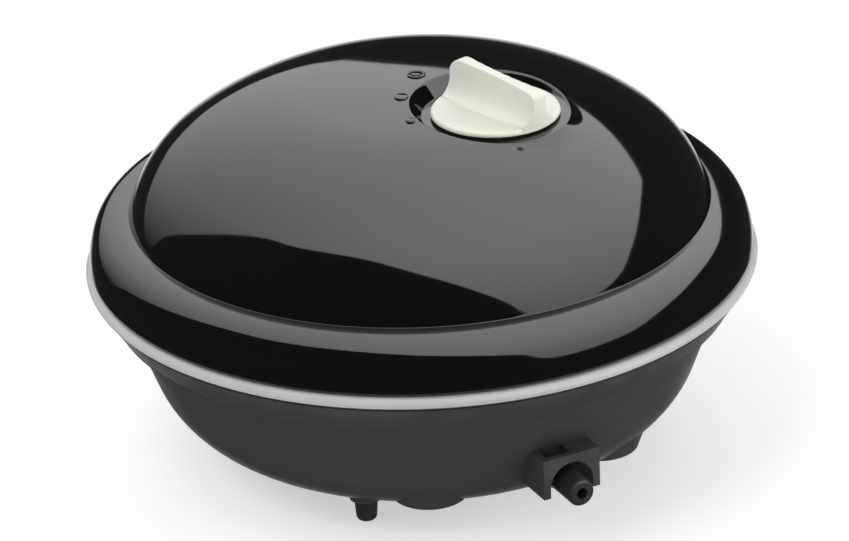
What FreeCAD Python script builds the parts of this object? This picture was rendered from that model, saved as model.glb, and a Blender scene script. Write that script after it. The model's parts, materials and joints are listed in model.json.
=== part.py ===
import FreeCAD, Part
import math
import os

import Sketcher
from FreeCAD import Placement, Rotation, Vector

# Aquarium air pump. Millimetres, +Z up, origin on the ground under the centre, outlet towards -Y.

SIZES = {
    # case: cover, trim ring and base
    "wall": 2.2, "seam_z": 41.0, "apex_z": 76.84,
    "cap_arc": 214.0, "cap_end": 5.683, "dome_arc": 56.3, "dome_end": 37.2,
    "shoulder_arc": 25.04, "shoulder_end": 73.97,
    "crease_arc": 10.199, "crease_end": 26.721, "brim_arc": 6.138, "brim_end": 67.073,
    "skirt_arc": 13.396, "hem_arc": 1.223, "hem_end": 166.6,
    "ring_inner": 63.2, "ring_outer": 68.0, "ring_waist": 66.1, "ring_nose_z": 39.8,
    "ring_foot": 66.9, "ring_foot_z": 38.7, "ring_top_arc": 2.026, "ring_low_arc": 1.2,
    "rim_z": 38.0, "lip_radius": 66.9, "lip_low": 63.4, "lip_low_z": 32.6, "lip_round": 1.2,
    "ledge_outer": 62.3, "ledge_z": 31.6, "floor_z": 4.9, "floor_radius": 36.8,
    "bowl_arc": 20.0, "bowl_lean": 20.0,
    # posts, bosses, feet and screws of the case
    "post_x": 19.26, "post_y": 38.06, "post_radius": 4.2, "boss_radius": 7.8,
    "boss_wide": 12.2, "boss_z": 7.4, "boss_top": 15.0, "boss_reach": 19.5, "boss_round": 0.5,
    "sink_radius": 4.0, "sink_depth": 4.6,
    "case_screw": 1.5, "case_screw_length": 15.0, "case_head": 2.9, "case_head_height": 2.4,
    "foot_xy": 29.0, "foot_radius": 2.4, "foot_tip": 2.1, "foot_neck": 1.6, "foot_round": 1.0,
    "foot_pad": 3.3, "foot_pad_top": 9.0, "foot_head": 2.6, "foot_head_height": 2.6,
    # knob, its well and the marks
    "knob_x": 9.5, "knob_y": -16.1, "knob_radius": 12.9, "knob_round": 0.8, "disc_low": 74.3,
    "disc_top": 75.3, "fin_height": 8.0, "fin_slope": 3.6, "fin_front": 11.3,
    "fin_round_high": 3.0, "fin_round_low": 1.6,
    "fin_half": 1.0, "scoop_radius": 100.0, "scoop_round": 4.4, "fin_angle": 105.5,
    "hub_radius": 4.5, "hub_low": 69.0, "shaft_radius": 3.0, "shaft_top": 74.6,
    "well_radius": 14.8, "well_floor": 73.9, "well_under": 71.7, "well_flare": 0.8,
    "well_flank": 1.41, "well_depth": 6.0, "well_plug": 18.0, "well_hole": 5.0,
    "mark_raise": 0.3, "mark_large": 1.85, "mark_bore": 1.45, "mark_dot": 0.95,
    "mark_medium": 1.4, "mark_small": 0.95, "large_angle": 110.7, "medium_angle": 142.7,
    "small_angle": 175.9, "large_reach": 20.9, "medium_reach": 18.8, "small_reach": 18.2,
    # air outlet
    "nozzle_z": 14.2, "nozzle_tip": 65.3, "nozzle_radius": 2.75, "nozzle_bore": 1.2,
    "nozzle_round": 0.7, "root_radius": 3.0, "root_end": 56.0, "nozzle_seat": 49.5,
    "nozzle_flange": 3.9, "flange_width": 1.5,
    "barb_radius": 2.2, "barb_end": 38.0, "hood_half": 6.2, "hood_face": 61.3, "hood_low": 12.6,
    "hood_top": 21.0, "arch_radius": 4.7, "arch_z": 14.6, "hood_plate": 1.3, "collar": 5.0,
    "slot_half": 3.0, "slot_height": 0.9, "slot_depth": 1.3, "slot_angle": -5.8,
    # speed control
    "board_low": 58.9, "board_thick": 1.6, "board_x_min": -18.0, "board_x_max": 32.0,
    "board_y_min": -30.0, "board_y_max": 6.0, "board_post": 3.0, "board_inset": 3.5,
    "board_screw": 1.25, "board_screw_length": 7.0, "board_head": 2.4, "board_head_height": 1.5,
    "pot_radius": 8.0, "pot_height": 7.5, "bush_radius": 3.9, "bush_height": 0.8,
    "pot_clearance": 0.05, "shaft_low": 62.0,
    # magnet and coil
    "arm_z": 32.5, "core_back": -45.0, "core_face": -22.0, "core_half": 18.0, "core_limb": 5.0,
    "core_depth": 8.0, "bobbin_back": -39.5, "bobbin_face": -25.0, "bobbin_y": 15.0,
    "bobbin_tall": 12.4, "bobbin_wall": 1.1, "bobbin_gap": 0.1, "cheek": 1.5, "coil_y": 14.0,
    "coil_tall": 11.4, "coil_round": 4.0, "core_screw": 1.5, "core_hole": 1.6,
    "core_bolt_x": -42.5, "core_bolt_rise": 15.5, "core_head": 2.8, "core_head_height": 2.0,
    "core_wall": 3.0,
    # swing arm
    "pivot_x": 30.0, "pin_radius": 1.5, "pin_clearance": 0.05, "pin_half": 9.0, "arm_hub": 4.0,
    "arm_hub_half": 5.3, "cheek_inner": 5.5, "cheek_half": 4.0, "arm_half": 5.0,
    "arm_thick": 2.0, "arm_plate": 2.0, "arm_plate_tall": 7.5, "magnet_thick": 4.0,
    "magnet_gap": 1.0, "magnet_tall": 9.0,
    # pumping chamber
    "chamber_x": 6.0, "chamber_radius": 17.0, "chamber_bore": 13.5, "housing_low": 7.1,
    "housing_top": 18.5, "housing_floor": 2.0, "housing_bore": 13.0, "divider_half": 1.0,
    "valve_plate": 2.0, "chamber_ring": 4.5, "diaphragm": 1.2, "clamp_ring": 2.5,
    "bolt_circle": 15.3, "bolt_radius": 1.25, "bolt_low": 10.0, "bolt_head": 2.2,
    "bolt_head_height": 1.5, "clamp_radius": 6.0, "clamp_plate": 1.2, "clamp_screw": 1.5,
    "clamp_head": 2.5, "clamp_head_height": 1.5, "roll_mid": 9.75, "roll_radius": 1.6,
    "flap_half": 4.0, "flap_near": 3.5, "flap_far": 12.0, "flap_thick": 0.5,
    "port_y": 7.0, "port_radius": 2.0, "intake_radius": 2.5,
    "hose_radius": 3.4, "hose_end": 47.8, "spigot_end": 26.0,
    # intake filter
    "filter_x": -14.0, "filter_y": -24.0, "filter_radius": 5.95, "filter_top": 8.9,
    "filter_wall": 7.0, "filter_roof": 10.0, "cap_thick": 1.5, "cap_slot": 1.2, "air_hole": 1.0,
    # power lead
    "cord_z": 15.0, "cord_radius": 1.8, "cord_end": 67.5, "cord_boss": 6.0, "cord_boss_y": 56.8,
    "cord_boss_in": 47.0, "gland_neck": 3.6, "gland_flange": 4.6, "gland_tip": 2.8,
    "gland_length": 8.0, "cord_turn": 8.0, "cord_run_y": 36.0, "cord_rise_z": 48.0,
    "cord_board_y": 3.0, "wire_radius": 0.6, "wire_y": 9.6, "wire_pitch": 0.75,
    "wire_x": -32.0, "wire_turn": 4.0,
    "wire_z": 52.0, "wire_board_x": -12.0,
}

SHEET = "Sizes"
AXIS_TURN = {
    "x": Rotation(Vector(0, 1, 0), 90),
    "y": Rotation(Vector(1, 0, 0), -90),
    "z": Rotation(),
}


class Val:
    """A number together with the spreadsheet expression it comes from."""

    def __init__(self, number, text):
        self.number = number
        self.text = text

    def __add__(self, other):
        other = as_val(other)
        return Val(self.number + other.number, f"({self.text} + {other.text})")

    def __sub__(self, other):
        other = as_val(other)
        return Val(self.number - other.number, f"({self.text} - {other.text})")

    def __mul__(self, other):
        other = as_val(other)
        return Val(self.number * other.number, f"({self.text} * {other.text})")

    def __neg__(self):
        return Val(-self.number, f"(0 - {self.text})")


def as_val(value):
    return value if isinstance(value, Val) else Val(float(value), f"({float(value)})")


def sin_of(angle):
    return Val(math.sin(math.radians(angle.number)), f"sin({angle.text} * 1 deg)")


def cos_of(angle):
    return Val(math.cos(math.radians(angle.number)), f"cos({angle.text} * 1 deg)")


def root_of(value):
    return Val(math.sqrt(value.number), f"sqrt({value.text})")


class Sizes:
    """Gives each driving dimension by name."""

    def __getattr__(self, name):
        return Val(SIZES[name], f"{SHEET}.{name}")


doc = FreeCAD.newDocument("air_pump")
size = Sizes()
nodes = []


def fill_sheet():
    sheet = doc.addObject("Spreadsheet::Sheet", SHEET)
    for row, (name, value) in enumerate(SIZES.items(), start=1):
        sheet.set(f"A{row}", name)
        sheet.set(f"B{row}", str(value))
        sheet.setAlias(f"B{row}", name)
    doc.recompute()


def bind(obj, prop, value):
    obj.setExpression(prop, as_val(value).text)


def place(obj, at, turn=None):
    point = [as_val(value) for value in at]
    obj.Placement = Placement(Vector(*[value.number for value in point]), turn or Rotation())
    for axis, value in zip("xyz", point):
        bind(obj, f"Placement.Base.{axis}", value)
    return obj


# ---- primitives and booleans ----


def cylinder(name, radius, length, at, axis="z"):
    obj = doc.addObject("Part::Cylinder", name)
    bind(obj, "Radius", radius)
    bind(obj, "Height", length)
    return place(obj, at, AXIS_TURN[axis])


def cone(name, low_radius, top_radius, length, at, axis="z"):
    obj = doc.addObject("Part::Cone", name)
    bind(obj, "Radius1", low_radius)
    bind(obj, "Radius2", top_radius)
    bind(obj, "Height", length)
    return place(obj, at, AXIS_TURN[axis])


def box(name, low, high):
    low = [as_val(value) for value in low]
    high = [as_val(value) for value in high]
    obj = doc.addObject("Part::Box", name)
    for prop, start, end in zip(("Length", "Width", "Height"), low, high):
        bind(obj, prop, end - start)
    return place(obj, low)


def fuse(name, *shapes):
    obj = doc.addObject("Part::MultiFuse", name)
    obj.Shapes = list(shapes)
    return obj


def group(name, shapes):
    obj = doc.addObject("Part::Compound", name)
    obj.Links = list(shapes)
    return obj


def cut(name, base, *tools):
    obj = doc.addObject("Part::Cut", name)
    obj.Base = base
    obj.Tool = tools[0] if len(tools) == 1 else fuse(name + "_tools", *tools)
    obj.Refine = True
    return obj


def common(name, first, second):
    obj = doc.addObject("Part::Common", name)
    obj.Base = first
    obj.Tool = second
    return obj


def finish(obj, label):
    obj.Label = label
    nodes.append(obj)
    return obj


# ---- sketches and the bodies made from them ----


def origin_plane(body, plane):
    return next(item for item in body.Origin.OriginFeatures if item.Role == plane)


def arc_between(start, end, radius, turn):
    """A minor arc from start to end; turn is +1 anticlockwise, -1 clockwise."""
    chord = end - start
    left = Vector(-chord.y, chord.x, 0).normalize()
    rise = math.sqrt(radius**2 - (chord.Length / 2) ** 2)
    centre = (start + end) * 0.5 + left * (rise * turn)
    first, last = (start, end) if turn > 0 else (end, start)
    angles = [math.atan2(p.y - centre.y, p.x - centre.x) for p in (first, last)]
    return Part.ArcOfCircle(Part.Circle(centre, Vector(0, 0, 1), radius), *angles)


def draw(body, name, plane, path, arcs=None, closed=True, offset=None):
    """A fully dimensioned sketch of lines and arcs.

    path is a list of (across, up) points. arcs maps the number of a segment to (radius, turn).
    """
    arcs = arcs or {}
    sketch = body.newObject("Sketcher::SketchObject", name)
    sketch.AttachmentSupport = [(origin_plane(body, plane), "")]
    sketch.MapMode = "FlatFace"
    if offset is not None:
        sketch.AttachmentOffset = Placement(Vector(0, 0, as_val(offset).number), Rotation())
        bind(sketch, "AttachmentOffset.Base.z", offset)
    path = [(as_val(across), as_val(up)) for across, up in path]
    points = [Vector(across.number, up.number, 0) for across, up in path]
    count = len(path) if closed else len(path) - 1
    shapes = []
    for index in range(count):
        ends = points[index], points[(index + 1) % len(points)]
        if index in arcs:
            radius, turn = arcs[index]
            shapes.append(arc_between(*ends, as_val(radius).number, turn))
        else:
            shapes.append(Part.LineSegment(*ends))
    sketch.addGeometry(shapes, False)

    def vertex(index, at_end):
        backwards = index in arcs and arcs[index][1] < 0
        return 2 if at_end != backwards else 1

    rules = []
    texts = {}
    for index in range(count):
        following = (index + 1) % count
        if closed or index + 1 < count:
            ends = index, vertex(index, True), following, vertex(following, False)
            rules.append(Sketcher.Constraint("Coincident", *ends))
        if index in arcs:
            radius = as_val(arcs[index][0])
            texts[len(rules)] = radius.text
            rules.append(Sketcher.Constraint("Radius", index, radius.number))
    for index, (across, up) in enumerate(path):
        place_of = (index, vertex(index, False)) if index < count else (count - 1, vertex(count - 1, True))
        for kind, axis, value in (("DistanceX", -2, across), ("DistanceY", -1, up)):
            if value.number == 0:
                rules.append(Sketcher.Constraint("PointOnObject", *place_of, axis))
            else:
                texts[len(rules)] = value.text
                rules.append(Sketcher.Constraint(kind, -1, 1, *place_of, value.number))
    sketch.addConstraint(rules)
    for index, text in texts.items():
        sketch.setExpression(f"Constraints[{index}]", text)
    return sketch


def ring_sketch(body, name, plane, across, up, radius, offset=None):
    """A sketch of one circle."""
    sketch = body.newObject("Sketcher::SketchObject", name)
    sketch.AttachmentSupport = [(origin_plane(body, plane), "")]
    sketch.MapMode = "FlatFace"
    if offset is not None:
        sketch.AttachmentOffset = Placement(Vector(0, 0, as_val(offset).number), Rotation())
        bind(sketch, "AttachmentOffset.Base.z", offset)
    across, up, radius = (as_val(value) for value in (across, up, radius))
    centre = Vector(across.number, up.number, 0)
    sketch.addGeometry(Part.Circle(centre, Vector(0, 0, 1), radius.number), False)
    sketch.addConstraint(Sketcher.Constraint("Radius", 0, radius.number))
    sketch.setExpression("Constraints[0]", radius.text)
    for kind, axis, value in (("DistanceX", -2, across), ("DistanceY", -1, up)):
        if value.number == 0:
            sketch.addConstraint(Sketcher.Constraint("PointOnObject", 0, 3, axis))
        else:
            index = sketch.addConstraint(Sketcher.Constraint(kind, -1, 1, 0, 3, value.number))
            sketch.setExpression(f"Constraints[{index}]", value.text)
    return sketch


def turned(name, path, arcs=None, at=(0, 0, 0), turn=None):
    """A body turned about +Z from a half profile of (radius, height) points."""
    body = doc.addObject("PartDesign::Body", name)
    sketch = draw(body, name + "_profile", "XZ_Plane", path, arcs)
    solid = body.newObject("PartDesign::Revolution", name + "_turned")
    solid.Profile = sketch
    solid.ReferenceAxis = (sketch, ["V_Axis"])
    solid.Angle = 360
    return place(body, at, turn)


def padded(name, plane, path, arcs, depth, at=(0, 0, 0)):
    """A body padded both ways from one of its origin planes."""
    body = doc.addObject("PartDesign::Body", name)
    sketch = draw(body, name + "_outline", plane, path, arcs)
    pad = body.newObject("PartDesign::Pad", name + "_pad")
    pad.Profile = sketch
    pad.Midplane = True
    bind(pad, "Length", depth)
    return place(body, at)


def piped(name, plane, path, arcs, start_plane, radius, start, offset=None):
    """A body swept with a round section along a path; start is the section's centre and offset."""
    body = doc.addObject("PartDesign::Body", name)
    spine = draw(body, name + "_path", plane, path, arcs, closed=False, offset=offset)
    across, up, along = start
    section = ring_sketch(body, name + "_section", start_plane, across, up, radius, along)
    pipe = body.newObject("PartDesign::AdditivePipe", name + "_pipe")
    pipe.Profile = section
    pipe.Spine = (spine, [])
    return place(body, (0, 0, 0))


def rounded_rectangle(half_width, half_height, radius):
    wide, tall = half_width - radius, half_height - radius
    path = [
        (wide, -half_height), (half_width, -tall), (half_width, tall), (wide, half_height),
        (-wide, half_height), (-half_width, tall), (-half_width, -tall), (-wide, -half_height),
    ]
    return path, {0: (radius, 1), 2: (radius, 1), 4: (radius, 1), 6: (radius, 1)}


def four_corners(across, up):
    return [(across, up), (-across, up), (-across, -up), (across, -up)]


# ---- case ----


def arc_chain(first, arcs):
    """Points of arcs that meet smoothly; each arc is (radius, start angle, end angle).

    Angles are those of the outward normal from straight up, growing outwards.
    """
    points = [first]
    for radius, begin, end in arcs:
        across, up = points[-1]
        across = across + radius * (sin_of(end) - sin_of(begin))
        up = up + radius * (cos_of(end) - cos_of(begin))
        points.append((across, up))
    return points


def dome_arcs(inset):
    zero = as_val(0)
    return [
        (size.cap_arc - inset, zero, size.cap_end),
        (size.dome_arc - inset, size.cap_end, size.dome_end),
        (size.shoulder_arc - inset, size.dome_end, size.shoulder_end),
    ]


def brim_arcs(inset):
    return [
        (size.crease_arc - inset, as_val(0), size.crease_end),
        (size.brim_arc - inset, size.crease_end, size.brim_end),
        (size.skirt_arc - inset, size.brim_end, as_val(90)),
    ]


def cover_outside():
    zero = as_val(0)
    dome = arc_chain((as_val(0), size.apex_z), dome_arcs(zero))
    hem = [(size.hem_arc, as_val(90), size.hem_end)]
    brim = arc_chain(dome[-1], brim_arcs(zero) + hem)
    brim[-1] = (brim[-1][0], size.seam_z)
    path = dome + brim[1:] + [(0, size.seam_z)]
    radii = [arc[0] for arc in dome_arcs(zero) + brim_arcs(zero) + hem]
    return turned("cover_skin", path, {index: (radius, -1) for index, radius in enumerate(radii)})


def cover_inside():
    wall = size.wall
    dome = arc_chain((as_val(0), size.apex_z - wall), dome_arcs(wall))
    crease = arc_chain((as_val(0), size.apex_z), dome_arcs(as_val(0)))[-1]
    brim = arc_chain((crease[0], crease[1] - wall), brim_arcs(wall))
    base = size.seam_z - 1
    path = dome + brim + [(brim[-1][0], base), (0, base)]
    arcs = {index: (arc[0], -1) for index, arc in enumerate(dome_arcs(wall))}
    arcs.update({index + 4: (arc[0], -1) for index, arc in enumerate(brim_arcs(wall))})
    return turned("cover_hollow", path, arcs)


def corners():
    """Signs of the four quarters of the case."""
    return [(1, 1), (-1, 1), (-1, -1), (1, -1)]


def board_corners():
    inset = size.board_inset
    across = (size.board_x_min + inset, size.board_x_max - inset)
    along = (size.board_y_min + inset, size.board_y_max - inset)
    return [(x, y) for x in across for y in along]


def well_seat():
    """The round ledge under the knob; its flank shows where the dome falls away below it."""
    drop = size.well_floor - size.well_under
    at = (size.knob_x, size.knob_y, size.well_under)
    return cone("well_flank", size.well_radius + drop * size.well_flank, size.well_radius, drop, at)


def well_tool():
    """The flared hollow above the ledge, and the hole for the knob's hub."""
    at = (size.knob_x, size.knob_y, size.well_floor)
    wide = size.well_radius + size.well_depth * size.well_flare
    flare = cone("well_flare", size.well_radius, wide, size.well_depth, at)
    low = (size.knob_x, size.knob_y, size.well_under - 1)
    return [flare, cylinder("well_hole", size.well_hole, 4, low)]


def mark(name, angle, away, radius, bore=None, dot=None):
    """A raised round mark beside the knob, standing a little proud of the dome."""
    across = size.knob_x + away * cos_of(angle)
    along = size.knob_y + away * sin_of(angle)
    reach = size.cap_arc * size.cap_arc - across * across - along * along
    top = size.apex_z - size.cap_arc + root_of(reach)
    low = (across, along, top - 1)
    tall = size.mark_raise + 1
    body = cylinder(name, radius, tall, low)
    if bore is None:
        return [body]
    ring = cut(name + "_ring", body, cylinder(name + "_bore", bore, tall + 1, low))
    return [ring, cylinder(name + "_dot", dot, tall, low)]


def make_cover():
    skin = cover_outside()
    clip = fuse("cover_reach", cover_outside_copy(skin), cylinder("cover_below", 60, 35, (0, 0, 8)))
    posts = []
    for number, (sx, sy) in enumerate(corners()):
        at = (size.post_x * sx, size.post_y * sy, size.boss_top)
        posts.append(cylinder(f"case_post{number}", size.post_radius, 60, at))
    top = size.board_low + size.board_thick
    for number, (across, along) in enumerate(board_corners()):
        posts.append(cylinder(f"board_post{number}", size.board_post, 18, (across, along, top)))
    under = (size.knob_x, size.knob_y, size.well_under)
    posts.append(cylinder("well_block", size.well_plug, 8, under))
    inside = common("cover_posts", fuse("post_set", *posts), clip)
    shell = cut("cover_shell", skin, cover_inside())
    rings = (size.mark_large, size.mark_bore, size.mark_dot)
    marks = mark("mark_l", size.large_angle, size.large_reach, *rings)
    marks += mark("mark_m", size.medium_angle, size.medium_reach, size.mark_medium)
    marks += mark("mark_s", size.small_angle, size.small_reach, size.mark_small)
    solid = fuse("cover_solid", shell, inside, well_seat(), *marks)
    tools = well_tool()
    for number, (sx, sy) in enumerate(corners()):
        at = (size.post_x * sx, size.post_y * sy, size.boss_top)
        tools.append(cylinder(f"case_pilot{number}", size.case_screw, 14, at))
    for number, (across, along) in enumerate(board_corners()):
        at = (across, along, top)
        depth = size.board_screw_length
        tools.append(cylinder(f"board_pilot{number}", size.board_screw, depth, at))
    finish(cut("Cover", solid, *tools), "cover")


def cover_outside_copy(skin):
    link = doc.addObject("Part::Refine", "cover_skin_copy")
    link.Source = skin
    return link


def make_trim_ring():
    path = [
        (size.ring_inner, size.seam_z), (size.ring_inner, size.rim_z),
        (size.ring_waist, size.rim_z), (size.ring_waist, size.ring_foot_z),
        (size.ring_foot, size.ring_foot_z), (size.ring_outer, size.ring_nose_z),
        (size.ring_waist + 0.05, size.seam_z),
    ]
    arcs = {4: (size.ring_low_arc, 1), 5: (size.ring_top_arc, 1)}
    finish(turned("TrimRing", path, arcs), "trim_ring")


def bowl_path(inset, top):
    """Half profile of the bowl from the axis outwards, set in by a wall thickness."""
    radius = size.bowl_arc - inset
    centre_z = size.floor_z + size.bowl_arc
    foot = (size.floor_radius + radius * cos_of(size.bowl_lean), centre_z - radius * sin_of(size.bowl_lean))
    lean = Val(
        math.tan(math.radians(SIZES["bowl_lean"])), f"tan({SHEET}.bowl_lean * 1 deg)"
    )
    reach = foot[0] + (top - foot[1]) * lean
    path = [(0, size.floor_z + inset), (size.floor_radius, size.floor_z + inset), foot, (reach, top)]
    return path, radius


def base_outside():
    path, radius = bowl_path(as_val(0), size.ledge_z)
    path += [
        (size.ledge_outer, size.ledge_z), (size.lip_low, size.lip_low_z),
        (size.lip_radius, size.rim_z), (0, size.rim_z),
    ]
    return turned("base_skin", path, {1: (radius, 1), 4: (size.lip_round, 1)})


def base_inside():
    top = size.rim_z + 1
    path, radius = bowl_path(size.wall, size.ledge_z + size.wall)
    path += [(size.ledge_outer - 0.7, size.ledge_z + size.wall), (size.ring_inner + 0.1, top), (0, top)]
    return turned("base_hollow", path, {1: (radius, 1)})


def outlet_hood():
    """Arched guard in front of the outlet, with a pocket behind the left half of its top."""
    half, face = size.hood_half, size.hood_face
    block = box("hood_block", (-half, -face, size.hood_low), (half, -size.nozzle_seat, size.hood_top))
    arch = cylinder("hood_arch", size.arch_radius, 20, (0, -face - 1, size.arch_z), "y")
    legs = (size.arch_radius, -face + 19, size.arch_z)
    under = box("hood_gap", (-size.arch_radius, -face - 1, size.hood_low - 1), legs)
    left = size.hood_plate - half
    behind = size.hood_plate - face
    low = size.arch_z + size.arch_radius - 3
    pocket = box("hood_pocket", (left, behind, low), (0.2, -size.nozzle_seat, size.hood_top + 1))
    return cut("outlet_hood", block, arch, under, pocket)


def pivot_cheeks():
    low, high = size.pivot_x - size.cheek_half, size.pivot_x + size.cheek_half
    top = size.arm_z + size.cheek_half
    inner, outer = size.cheek_inner, size.pin_half
    return [
        box("pivot_cheek_a", (low, inner, size.floor_z), (high, outer, top)),
        box("pivot_cheek_b", (low, -outer, size.floor_z), (high, -inner, top)),
    ]


def base_supports():
    """Everything that stands up from the floor inside the base."""
    depth, wall = size.core_depth, size.core_wall
    foot = size.arm_z - size.core_half
    rib_low = (size.core_back, depth, size.floor_z)
    rib_high = (size.bobbin_back - 0.5, depth + wall, size.arm_z + size.core_half)
    collar = cylinder("nozzle_collar", size.collar, 8, (0, -size.nozzle_seat - 8, size.nozzle_z), "y")
    at = (size.chamber_x, 0, size.floor_z)
    curb = cylinder("chamber_curb_out", size.chamber_radius + 1.5, 4.6, at)
    curb = cut("chamber_curb", curb, cylinder("chamber_curb_in", size.chamber_radius + 0.05, 6, at))
    at = (size.filter_x, size.filter_y, size.floor_z)
    cup = cylinder("filter_cup", size.filter_wall, size.filter_roof - size.floor_z, at)
    return [
        box("core_rib", rib_low, rib_high),
        box("core_foot", (-30, -4, size.floor_z), (-23, 4, foot)),
        collar, curb, cup,
    ] + pivot_cheeks()


def base_protrusions():
    """Bosses and pads that also show outside the bowl."""
    shapes = []
    edge = size.boss_radius - size.boss_round
    path = [
        (0, size.boss_z), (edge, size.boss_z), (size.boss_radius, size.boss_z + size.boss_round),
        (size.boss_wide, size.boss_reach), (0, size.boss_reach),
    ]
    for number, (sx, sy) in enumerate(corners()):
        at = (size.post_x * sx, size.post_y * sy, 0)
        shapes.append(turned(f"case_boss{number}", path, {1: (size.boss_round, 1)}, at))
        at = (size.foot_xy * sx, size.foot_xy * sy, size.floor_z)
        tall = size.foot_pad_top - size.floor_z
        shapes.append(cylinder(f"foot_pad{number}", size.foot_pad, tall, at))
    start = (0, size.cord_boss_in, size.cord_z)
    depth = size.cord_boss_y - size.cord_boss_in
    shapes.append(cylinder("cord_boss", size.cord_boss, depth, start, "y"))
    return shapes


def base_cuts():
    tools = []
    for number, (sx, sy) in enumerate(corners()):
        across, along = size.post_x * sx, size.post_y * sy
        sink = size.boss_z + size.sink_depth - size.floor_z + 1
        at = (across, along, size.floor_z - 1)
        tools.append(cylinder(f"screw_sink{number}", size.sink_radius, sink, at))
        at = (across, along, size.boss_top - 7)
        tools.append(cylinder(f"screw_way{number}", size.case_screw + 0.1, 8, at))
        at = (size.foot_xy * sx, size.foot_xy * sy, size.floor_z - 1)
        tools.append(cylinder(f"foot_hole{number}", size.foot_neck, 8, at))
    start = (0, -size.nozzle_seat - 10, size.nozzle_z)
    tools.append(cylinder("nozzle_hole", size.root_radius, 12, start, "y"))
    start = (0, -size.nozzle_seat, size.nozzle_z)
    tools.append(cylinder("flange_pocket", size.nozzle_flange + 0.1, 5, start, "y"))
    start = (0, size.cord_boss_in - 2, size.cord_z)
    tools.append(cylinder("cord_hole", size.gland_neck, 14, start, "y"))
    rise = size.core_bolt_rise
    for number, level in enumerate((size.arm_z - rise, size.arm_z + rise)):
        at = (size.core_bolt_x, size.core_depth - 1, level)
        tools.append(cylinder(f"core_thread{number}", size.core_screw, 6, at, "y"))
    at = (size.pivot_x, -size.pin_half - 1, size.arm_z)
    tools.append(cylinder("pin_way", size.pin_radius, 20, at, "y"))
    at = (size.filter_x, size.filter_y, size.floor_z - 1)
    tools.append(cylinder("filter_pit", size.filter_radius, size.filter_top - size.floor_z + 1, at))
    for number, (sx, sy) in enumerate(corners()):
        at = (size.filter_x + 2.5 * sx, size.filter_y + 2.5 * sy, size.filter_top - 1)
        tools.append(cylinder(f"air_hole{number}", size.air_hole, 4, at))
    tools.append(ledge_slot())
    return tools


def ledge_slot():
    reach = size.ledge_outer - size.slot_depth - size.wall
    half = size.slot_half
    slot = doc.addObject("Part::Box", "ledge_slot")
    bind(slot, "Length", half * 2)
    bind(slot, "Width", 5)
    bind(slot, "Height", size.slot_height)
    angle = size.slot_angle
    across = cos_of(angle) * (-half) + sin_of(angle) * (reach + 5)
    along = sin_of(angle) * (-half) - cos_of(angle) * (reach + 5)
    turn = Rotation(Vector(0, 0, 1), SIZES["slot_angle"])
    return place(slot, (across, along, size.ledge_z - size.slot_height), turn)


def make_base():
    skin = fuse("base_outer", base_outside(), outlet_hood(), *base_protrusions())
    raised = fuse("base_kept", *base_supports(), *[
        cylinder(f"boss_keep{number}", size.boss_radius, 11, (size.post_x * sx, size.post_y * sy, 4))
        for number, (sx, sy) in enumerate(corners())
    ], *[
        cylinder(f"pad_keep{number}", size.foot_pad, 5, (size.foot_xy * sx, size.foot_xy * sy, 4))
        for number, (sx, sy) in enumerate(corners())
    ], cylinder("cord_keep", size.cord_boss, 10, (0, size.cord_boss_in, size.cord_z), "y"))
    tall = common("base_tall", base_supports_above(), base_column())
    hollow = cut("base_room", base_inside(), raised)
    shell = fuse("base_walls", cut("base_shell", skin, hollow), tall)
    finish(cut("Base", shell, *base_cuts()), "base")


def base_column():
    top = size.rim_z
    return cylinder("base_column", size.floor_radius + 14, 30, (0, 0, top - 2))


def base_supports_above():
    """The magnet rib rises past the rim of the base."""
    low = (size.core_back, size.core_depth, size.rim_z - 4)
    high = (size.bobbin_back - 0.5, size.core_depth + size.core_wall, size.arm_z + size.core_half)
    return box("core_rib_upper", low, high)


def make_case_screws():
    screws = []
    for number, (sx, sy) in enumerate(corners()):
        across, along = size.post_x * sx, size.post_y * sy
        seat = size.boss_z + size.sink_depth
        head = (across, along, seat - size.case_head_height)
        name = f"case_screw{number}"
        body = fuse(
            name + "_body",
            cylinder(name + "_head", size.case_head, size.case_head_height, head),
            cylinder(name + "_shank", size.case_screw, size.case_screw_length, (across, along, seat)),
        )
        screws.append(cut(name, body, *cross_slot(name, across, along, head[2], 1.8)))
    finish(group("CaseScrews", screws), "case_screws")


def cross_slot(name, across, along, level, reach):
    """A cross recess centred on the given level, to cut into a screw head."""
    bars = []
    for tag, wide, deep in (("a", reach, 0.4), ("b", 0.4, reach)):
        low = (across - wide, along - deep, level - 1)
        high = (across + wide, along + deep, level + 1)
        bars.append(box(f"{name}_slot_{tag}", low, high))
    return bars


def make_feet():
    neck_top = size.foot_pad_top
    head_top = neck_top + size.foot_head_height
    path = [
        (0, 0), (size.foot_tip - size.foot_round, 0), (size.foot_tip, size.foot_round),
        (size.foot_radius, size.floor_z), (size.foot_neck, size.floor_z), (size.foot_neck, neck_top),
        (size.foot_head, neck_top), (size.foot_neck - 0.4, head_top), (0, head_top),
    ]
    feet = []
    for number, (sx, sy) in enumerate(corners()):
        at = (size.foot_xy * sx, size.foot_xy * sy, 0)
        feet.append(turned(f"foot{number}", path, {1: (size.foot_round, 1)}, at))
    finish(group("RubberFeet", feet), "rubber_feet")


# ---- knob and speed control ----


def scoop(name, side):
    """One of the two round cutters that leave the knob's fin between them."""
    radius, edge = size.scoop_radius, size.scoop_round
    path = [
        (0, size.disc_top), (radius - edge, size.disc_top), (radius, size.disc_top + edge),
        (radius, size.disc_top + 12), (0, size.disc_top + 12),
    ]
    return turned(name, path, {1: (edge, 1)}, (0, (size.scoop_radius + size.fin_half) * side, 0))


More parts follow.
